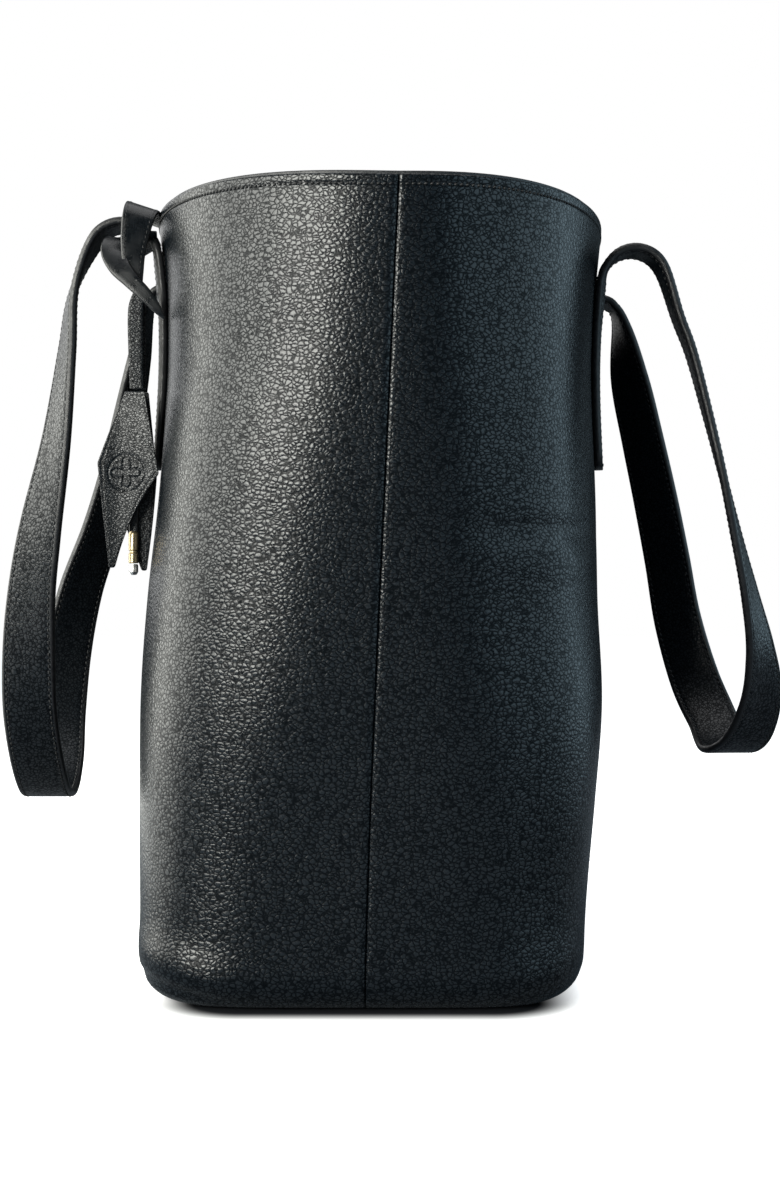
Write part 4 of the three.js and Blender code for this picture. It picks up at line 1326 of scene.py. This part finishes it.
def turned(name, profile, centre, material, body_name, axis="Z", segments=40, sharp=30):
    """A turned piece: [radius, height] pairs about an axis through its centre."""
    angle = np.linspace(0, 2 * math.pi, segments, endpoint=False)
    rings = []
    for radius, height in profile:
        x, y = radius * np.cos(angle), radius * np.sin(angle)
        ring = np.stack([x, y, np.full(segments, float(height))], axis=1)
        if axis == "+Y":
            ring = ring[:, [0, 2, 1]]
        if axis == "-Y":
            ring = ring[:, [0, 2, 1]] * [1, -1, 1]
        rings.append(ring + centre)
    points, faces = tube(rings)
    return make_piece(name, points, faces, material, body_name, sharp=sharp)


FERRULE_AT = (CHARM_X, -102, 180)
TIP_AT = (CHARM_X, -102, 174.9)
ferrule_profile = [
    [0.9, 0], [1.9, 0], [2.2, 0.35], [2.2, 4.1], [2.05, 4.35], [1.75, 4.6], [1.75, 5.4], [2.05, 5.65],
    [2.2, 5.9], [2.2, 12.6], [2.0, 13.3], [1.6, 13.9], [0.6, 14],
]
ferrule = turned("charm_ferrule_brass", ferrule_profile, FERRULE_AT, BRASS, "charm_clip")
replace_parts(ferrule, "charm_ferrule")
tip_profile = [[0.5, 0], [1.25, 0.1], [1.6, 0.5], [2.05, 1.3], [2.05, 4.0], [1.8, 4.7], [0.6, 4.75]]
tip = turned("charm_tip_nickel", tip_profile, TIP_AT, NICKEL, "charm_clip", segments=8, sharp=20)
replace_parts(tip, "charm_tip")


# ---- Zip pocket ----

TAPE_Y = POCKET_PLANE + LINING_THICK + LAYER_GAP
TEETH_Y = TAPE_Y - 0.7
FRAME_Y = POCKET_PLANE - LAYER_GAP
FRAME_THICK = 1.4
TAPE_INNER, TAPE_OUTER = 3.1, 14  # a tape's edges, from the zip's middle
TAPE_THICK = 0.8
TAPE_PAST_END = 6
TOOTH_PITCH, TOOTH_WIDTH, TOOTH_THICK = 4.0, 1.68, 1.6
TOOTH_ROOT, TOOTH_PAST_MIDDLE = 2.6, 0.9


def many_boxes(name, boxes, material, bevel=0.3):
    """Separate small blocks with softened edges, in one piece."""
    points, faces = [], []
    for k, (low, high) in enumerate(boxes):
        corners, sides = box_solid(low, high)
        points.append(corners)
        faces.append(sides + 8 * k)
    piece = make_piece(name, np.concatenate(points), np.concatenate(faces), material, None)
    modifier = piece.modifiers.new("soft_edges", "BEVEL")
    modifier.width = bevel * MM
    modifier.segments = 2
    modifier.limit_method = "NONE"
    apply_modifiers(piece)
    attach(piece, "root")
    return piece


def welt_loop(half_x, half_z, y, radius):
    """A rounded rectangle round the zip."""
    corners = []
    for cx, cz, start in ((1, 1, 0), (-1, 1, 90), (-1, -1, 180), (1, -1, 270)):
        for degrees in np.linspace(start, start + 90, 7):
            turn = math.radians(degrees)
            x = cx * (half_x - radius) + radius * math.cos(turn)
            z = ZIP_Z + cz * (half_z - radius) + radius * math.sin(turn)
            corners.append([x, y, z])
    return np.array(corners)


WELT_OUTER = (ZIP_LENGTH / 2 + 9, 13)
WELT_INNER = (ZIP_LENGTH / 2, 6.5)


def make_welt():
    """The leather frame round the zip: a flat ring with rounded edges."""
    y0, y1 = FRAME_Y - FRAME_THICK, FRAME_Y
    rings = []
    for (half_x, half_z), grow, y, radius in (
        (WELT_OUTER, 0, y1, 4), (WELT_OUTER, 0, y0 + 0.5, 4),
        (WELT_OUTER, -0.4, y0 + 0.1, 3.8), (WELT_OUTER, -0.9, y0, 3.6),
        (WELT_INNER, 0.9, y0, 1.6), (WELT_INNER, 0.4, y0 + 0.1, 1.3),
        (WELT_INNER, 0, y0 + 0.5, 1), (WELT_INNER, 0, y1, 1),
    ):
        rings.append(welt_loop(half_x + grow, half_z + grow, y, radius))
    rings = np.array(rings)
    count, around = rings.shape[:2]
    index = np.arange(count * around).reshape(count, around)
    nxt = np.roll(index, -1, axis=0)
    side = np.roll(index, -1, axis=1)
    corner = np.roll(nxt, -1, axis=1)
    return rings.reshape(-1, 3), quads(index, side, corner, nxt)


points, faces = make_welt()
welt = make_piece("zip_welt_leather", points, faces, SMOOTH)
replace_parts(welt, "zip_frame")
welt_lines = []
for half_x, half_z, radius in ((ZIP_LENGTH / 2 + 7, 11, 3), (ZIP_LENGTH / 2 + 2, 8.4, 1.5)):
    line = welt_loop(half_x, half_z, FRAME_Y - FRAME_THICK - 0.02, radius)
    line = np.concatenate([line, line[:1]])
    welt_lines.append((line, np.tile([0.0, -1.0, 0.0], (len(line), 1))))
make_stitches("zip_welt_stitching", welt_lines, THREAD, "plain_leather", radius=0.2)

for label, up in (("upper", 1), ("lower", -1)):
    z0, z1 = sorted((ZIP_Z + up * TAPE_INNER, ZIP_Z + up * TAPE_OUTER))
    half = ZIP_LENGTH / 2 + TAPE_PAST_END
    box = ((-half, TAPE_Y, z0), (half, TAPE_Y + TAPE_THICK, z1))
    tape = many_boxes(f"zip_tape_{label}_cloth", [box], TAPE)
    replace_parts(tape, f"zip_tape_{label}")
    start = -ZIP_LENGTH / 2 + TAPE_PAST_END + (TOOTH_PITCH / 2 if up > 0 else 0)
    boxes = []
    for x in np.arange(start, ZIP_LENGTH / 2 - 4, TOOTH_PITCH):
        low, high = sorted((ZIP_Z + up * TOOTH_ROOT, ZIP_Z - up * TOOTH_PAST_MIDDLE))
        boxes.append(((x, TEETH_Y, low), (x + TOOTH_WIDTH, TEETH_Y + TOOTH_THICK, high)))
    low, high = sorted((ZIP_Z + up * 1.5, ZIP_Z + up * 2.8))
    boxes.append(((start - 1, TEETH_Y + 0.35, low), (ZIP_LENGTH / 2 - 3, TEETH_Y + 1.3, high)))
    teeth = many_boxes(f"zip_teeth_{label}_brass", boxes, BRASS)
    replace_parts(teeth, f"zip_teeth_{label}")


# ---- Bottle pockets ----

def pouch_rows(centre, z, outer, thickness, gather=0.0):
    """Rows of a pouch's wall: its outer face up, over its hem, and down inside."""
    angle = np.linspace(0, math.pi, 90)[None, :]

    def face(shrink, heights):
        c, s = np.cos(angle), np.sin(angle)
        size = (np.abs(c) ** 3 + np.abs(s) ** 3) ** (1 / 3)
        depth = BOTTLE_DEPTH * (0.12 + 0.88 * smoothstep(-10, 48, heights - BOTTLE_BOTTOM))
        pleats = gather * np.sin(angle * 34) * smoothstep(BOTTLE_TOP - 60, BOTTLE_TOP - 12, heights) * s
        x = centre + ((BOTTLE_HALF_WIDTH - shrink) * c) / size
        root = wall_y(FRONT, x, heights, LINING_OFFSET + LINING_THICK) + POUCH_GAP
        y = root + ((depth - shrink + pleats) * np.maximum(0, s)) / size
        return np.stack(np.broadcast_arrays(x, y, heights), axis=-1)

    heights = z[:, None]
    hem = []
    for b in np.linspace(0, math.pi, 6)[1:-1]:
        hem_z = z[-1] + thickness / 2 * math.sin(b)
        hem.append(face(-outer + thickness * (1 - math.cos(b)) / 2, np.array([[hem_z]])))
    return np.concatenate([face(-outer, heights), *hem, face(-outer + thickness, heights)[::-1]])


ELASTIC_LOW, ELASTIC_HIGH = BOTTLE_TOP - 14, BOTTLE_TOP - 2

for label, x in (("near", BOTTLE_X), ("far", -BOTTLE_X)):
    rows = pouch_rows(x, np.linspace(BOTTLE_BOTTOM, BOTTLE_TOP - 0.5, 40), 0.0, 1.0, gather=0.55)
    points, faces = shell(rows)
    pouch = make_piece(f"bottle_pocket_{label}_cloth", points, faces, LINING)
    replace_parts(pouch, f"bottle_pocket_{label}")
    rows = pouch_rows(x, np.linspace(ELASTIC_LOW, ELASTIC_HIGH, 8), 1.5, 1.2, gather=0.35)
    points, faces = shell(rows)
    band = make_piece(f"bottle_elastic_{label}_band", points, faces, ELASTIC)
    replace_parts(band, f"bottle_elastic_{label}")


# ---- Snap ----

SNAP_INSET = FACING_INSET + FACING_THICK
SNAP_Z = 303
SNAP_SUNK = 0.6
stud_profile = [
    [0.6, 0], [6.4, 0], [6.9, 0.3], [7, 0.8], [6.7, 1.3], [6.1, 1.7], [2.9, 1.8], [2.5, 2.1],
    [2.4, 3.5], [2.1, 3.9], [0.6, 4],
]
stud_at = (0, float(wall_y(FRONT, 0, SNAP_Z, SNAP_INSET)) + SNAP_SUNK, SNAP_Z)
stud = turned("snap_stud_nickel", stud_profile, stud_at, NICKEL, "root", axis="+Y")
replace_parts(stud, "snap_stud")
socket_profile = [
    [0.6, 0], [6.4, 0], [6.9, 0.3], [7, 1.5], [6.7, 2.1], [6.1, 2.5], [3.6, 2.6], [3.1, 2.4],
    [2.9, 2.1], [2.8, 0.9], [0.6, 0.8],
]
socket_at = (0, float(wall_y(BACK, 0, SNAP_Z, SNAP_INSET)) - SNAP_SUNK, SNAP_Z)
socket = turned("snap_socket_nickel", socket_profile, socket_at, NICKEL, "root", axis="-Y")
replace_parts(socket, "snap_socket")


# ---- CAD nodes that stay as they are ----

KEPT = {
    "base_board": (BOARD, "stiffener_board"),
    "near_seam_tape": (WEBBING, "webbing"),
    "far_seam_tape": (WEBBING, "webbing"),
    "zip_pocket_bag": (LINING, "lining_cloth"),
    "zip_stop_near": (BRASS, "brass"),
    "zip_stop_far": (BRASS, "brass"),
    "zip_slider": (BRASS, "brass"),
    "zip_pull": (BRASS, "brass"),
}
for node, (material, slot) in KEPT.items():
    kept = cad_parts[node]
    kept.data.materials.clear()
    kept.data.materials.append(material)


# ---- Studio ----

def area_light(name, place, target, size, power, color=(1, 1, 1)):
    data = bpy.data.lights.new(name, "AREA")
    data.shape = "RECTANGLE"
    data.size, data.size_y = size
    data.energy = power
    data.color = color
    light = bpy.data.objects.new(name, data)
    light.location = place
    light.rotation_euler = (Vector(target) - Vector(place)).to_track_quat("-Z", "Y").to_euler()
    bpy.context.scene.collection.objects.link(light)


def choose_by_ray(tree, for_light, for_camera, output):
    """Joins one shader to the rays that light the scene and another to those that are seen."""
    seen = tree.nodes.new("ShaderNodeLightPath")
    choose = tree.nodes.new("ShaderNodeMixShader")
    tree.links.new(seen.outputs["Is Camera Ray"], choose.inputs[0])
    tree.links.new(for_light, choose.inputs[1])
    tree.links.new(for_camera, choose.inputs[2])
    tree.links.new(choose.outputs[0], tree.nodes[output].inputs["Surface"])


BASE_HALF = {"X": 0.168, "Y": 0.07}  # half the outline of the shadow painted on the floor, in metres
BASE_CORNER = 0.02
PAINTED_CONTACT_SHADOW = (0.0, 0.025)  # where the painted contact shadow beside the bag goes from dark to white
SHADOW_PAINT = (0.012, 0.013, 0.015)
PALE_PAINT = (0.8, 0.8, 0.8)
DIM_PAINT = (0.17, 0.19, 0.215, 1)


def make_floor():
    """A pale floor: dark at the bag's edge, where a contact shadow is painted into its colour and its
    glow, and glowing white further off. To reflections and to the light it is a dim paint."""
    half = 8.0
    corners = [[-half, -half, 0], [half, -half, 0], [half, half, 0], [-half, half, 0]]
    shader = Shader("pale_floor")
    tree = shader.tree
    place = shader.place("Object")
    parts = shader.node("ShaderNodeSeparateXYZ", None, Vector=place).outputs
    sides = []
    for axis, half_base in BASE_HALF.items():
        past = shader.math("SUBTRACT", shader.math("ABSOLUTE", parts[axis]), half_base - BASE_CORNER)
        sides.append(shader.math("POWER", shader.math("MAXIMUM", past, 0.0), 2.0))
    round_away = shader.math("SQRT", shader.math("ADD", *sides))
    away = shader.math("SUBTRACT", round_away, BASE_CORNER)
    # Painted shadow: near the bag's outline the floor's glow fades out and its paint turns dark, as a
    # contact shadow drawn into its colour.
    strength = shader.span(away, *PAINTED_CONTACT_SHADOW, 0.0, 1.0)
    glow = shader.node("ShaderNodeEmission", None, Color=(1, 1, 1, 1))
    shader.put(glow.inputs["Strength"], strength)
    pale = shader.blend(strength, SHADOW_PAINT, PALE_PAINT)
    paint = shader.node("ShaderNodeBsdfDiffuse", None, Color=pale)
    dim_paint = shader.node("ShaderNodeBsdfDiffuse", None, Color=DIM_PAINT)
    both = tree.nodes.new("ShaderNodeAddShader")
    tree.links.new(glow.outputs[0], both.inputs[0])
    tree.links.new(paint.outputs[0], both.inputs[1])
    choose_by_ray(tree, dim_paint.outputs[0], both.outputs[0], "Material Output")
    mesh = bpy.data.meshes.new("floor")
    mesh.from_pydata(corners, [], [[0, 1, 2, 3]])
    mesh.materials.append(shader.material)
    floor = bpy.data.objects.new("floor", mesh)
    bpy.context.scene.collection.objects.link(floor)


def make_world(ambient=0.045):
    """White to the camera, and a dim cool surround to everything else."""
    world = bpy.data.worlds.new("studio")
    bpy.context.scene.world = world
    world.use_nodes = True
    tree = world.node_tree
    back = tree.nodes["Background"]
    back.inputs["Color"].default_value = (0.7, 0.88, 1.0, 1)
    back.inputs["Strength"].default_value = ambient
    white = tree.nodes.new("ShaderNodeBackground")
    white.inputs["Color"].default_value = (1, 1, 1, 1)
    white.inputs["Strength"].default_value = 1.0
    choose_by_ray(tree, back.outputs[0], white.outputs[0], "World Output")


def make_camera():
    """Level with the middle of the bag's end, about a metre from the bag's middle."""
    data = bpy.data.cameras.new("camera")
    data.sensor_fit = "VERTICAL"
    data.sensor_height = 36
    data.lens = 61.95
    data.shift_y = 0.00167
    data.clip_end = 50
    camera = bpy.data.objects.new("camera", data)
    camera.location = (0.985, 0.0097, 0.164)
    camera.rotation_euler = (math.pi / 2, 0, math.pi / 2)
    bpy.context.scene.collection.objects.link(camera)
    bpy.context.scene.camera = camera


make_floor()
make_world()
make_camera()
DAYLIGHT = (1, 1, 0.93)
COOL_DAYLIGHT = (0.62, 0.86, 1)
# Each light: its place, a point that it faces, its width and height, its power and its colour.
LIGHTS = {
    "window_near": ((1.82, -1.15, 0.78), (1.82, 0, 0.78), (3.25, 1.04), 72, DAYLIGHT),
    "window_far": ((-0.4, -1.15, 0.67), (-0.4, 0, 0.67), (1.2, 1.26), 18, DAYLIGHT),
    "window_middle": ((1.75, -0.9, 0.77), (1.75, 0, 0.77), (2.1, 1.06), 40, DAYLIGHT),
    "window_edge": ((1.82, -0.7, 0.74), (1.82, 0, 0.74), (0.8, 0.96), 13, DAYLIGHT),
    "floor_glow": ((-0.35, -0.75, 0.004), (-0.35, -0.75, 1), (1.3, 0.9), 5, DAYLIGHT),
    "far_end": ((-1.4, -0.7, 0.7), (0, 0, 0.2), (1.2, 1.0), 4),
    "cool_right": ((0.8, 1.6, 0.9), (0.8, 0, 0.9), (5.0, 1.8), 31, COOL_DAYLIGHT),
    "overhead": ((0.0, 0.0, 1.7), (0, 0, 0), (1.4, 1.4), 11),
}
for name, light in LIGHTS.items():
    area_light(name, *light)

bpy.context.scene.view_settings.view_transform = "Standard"
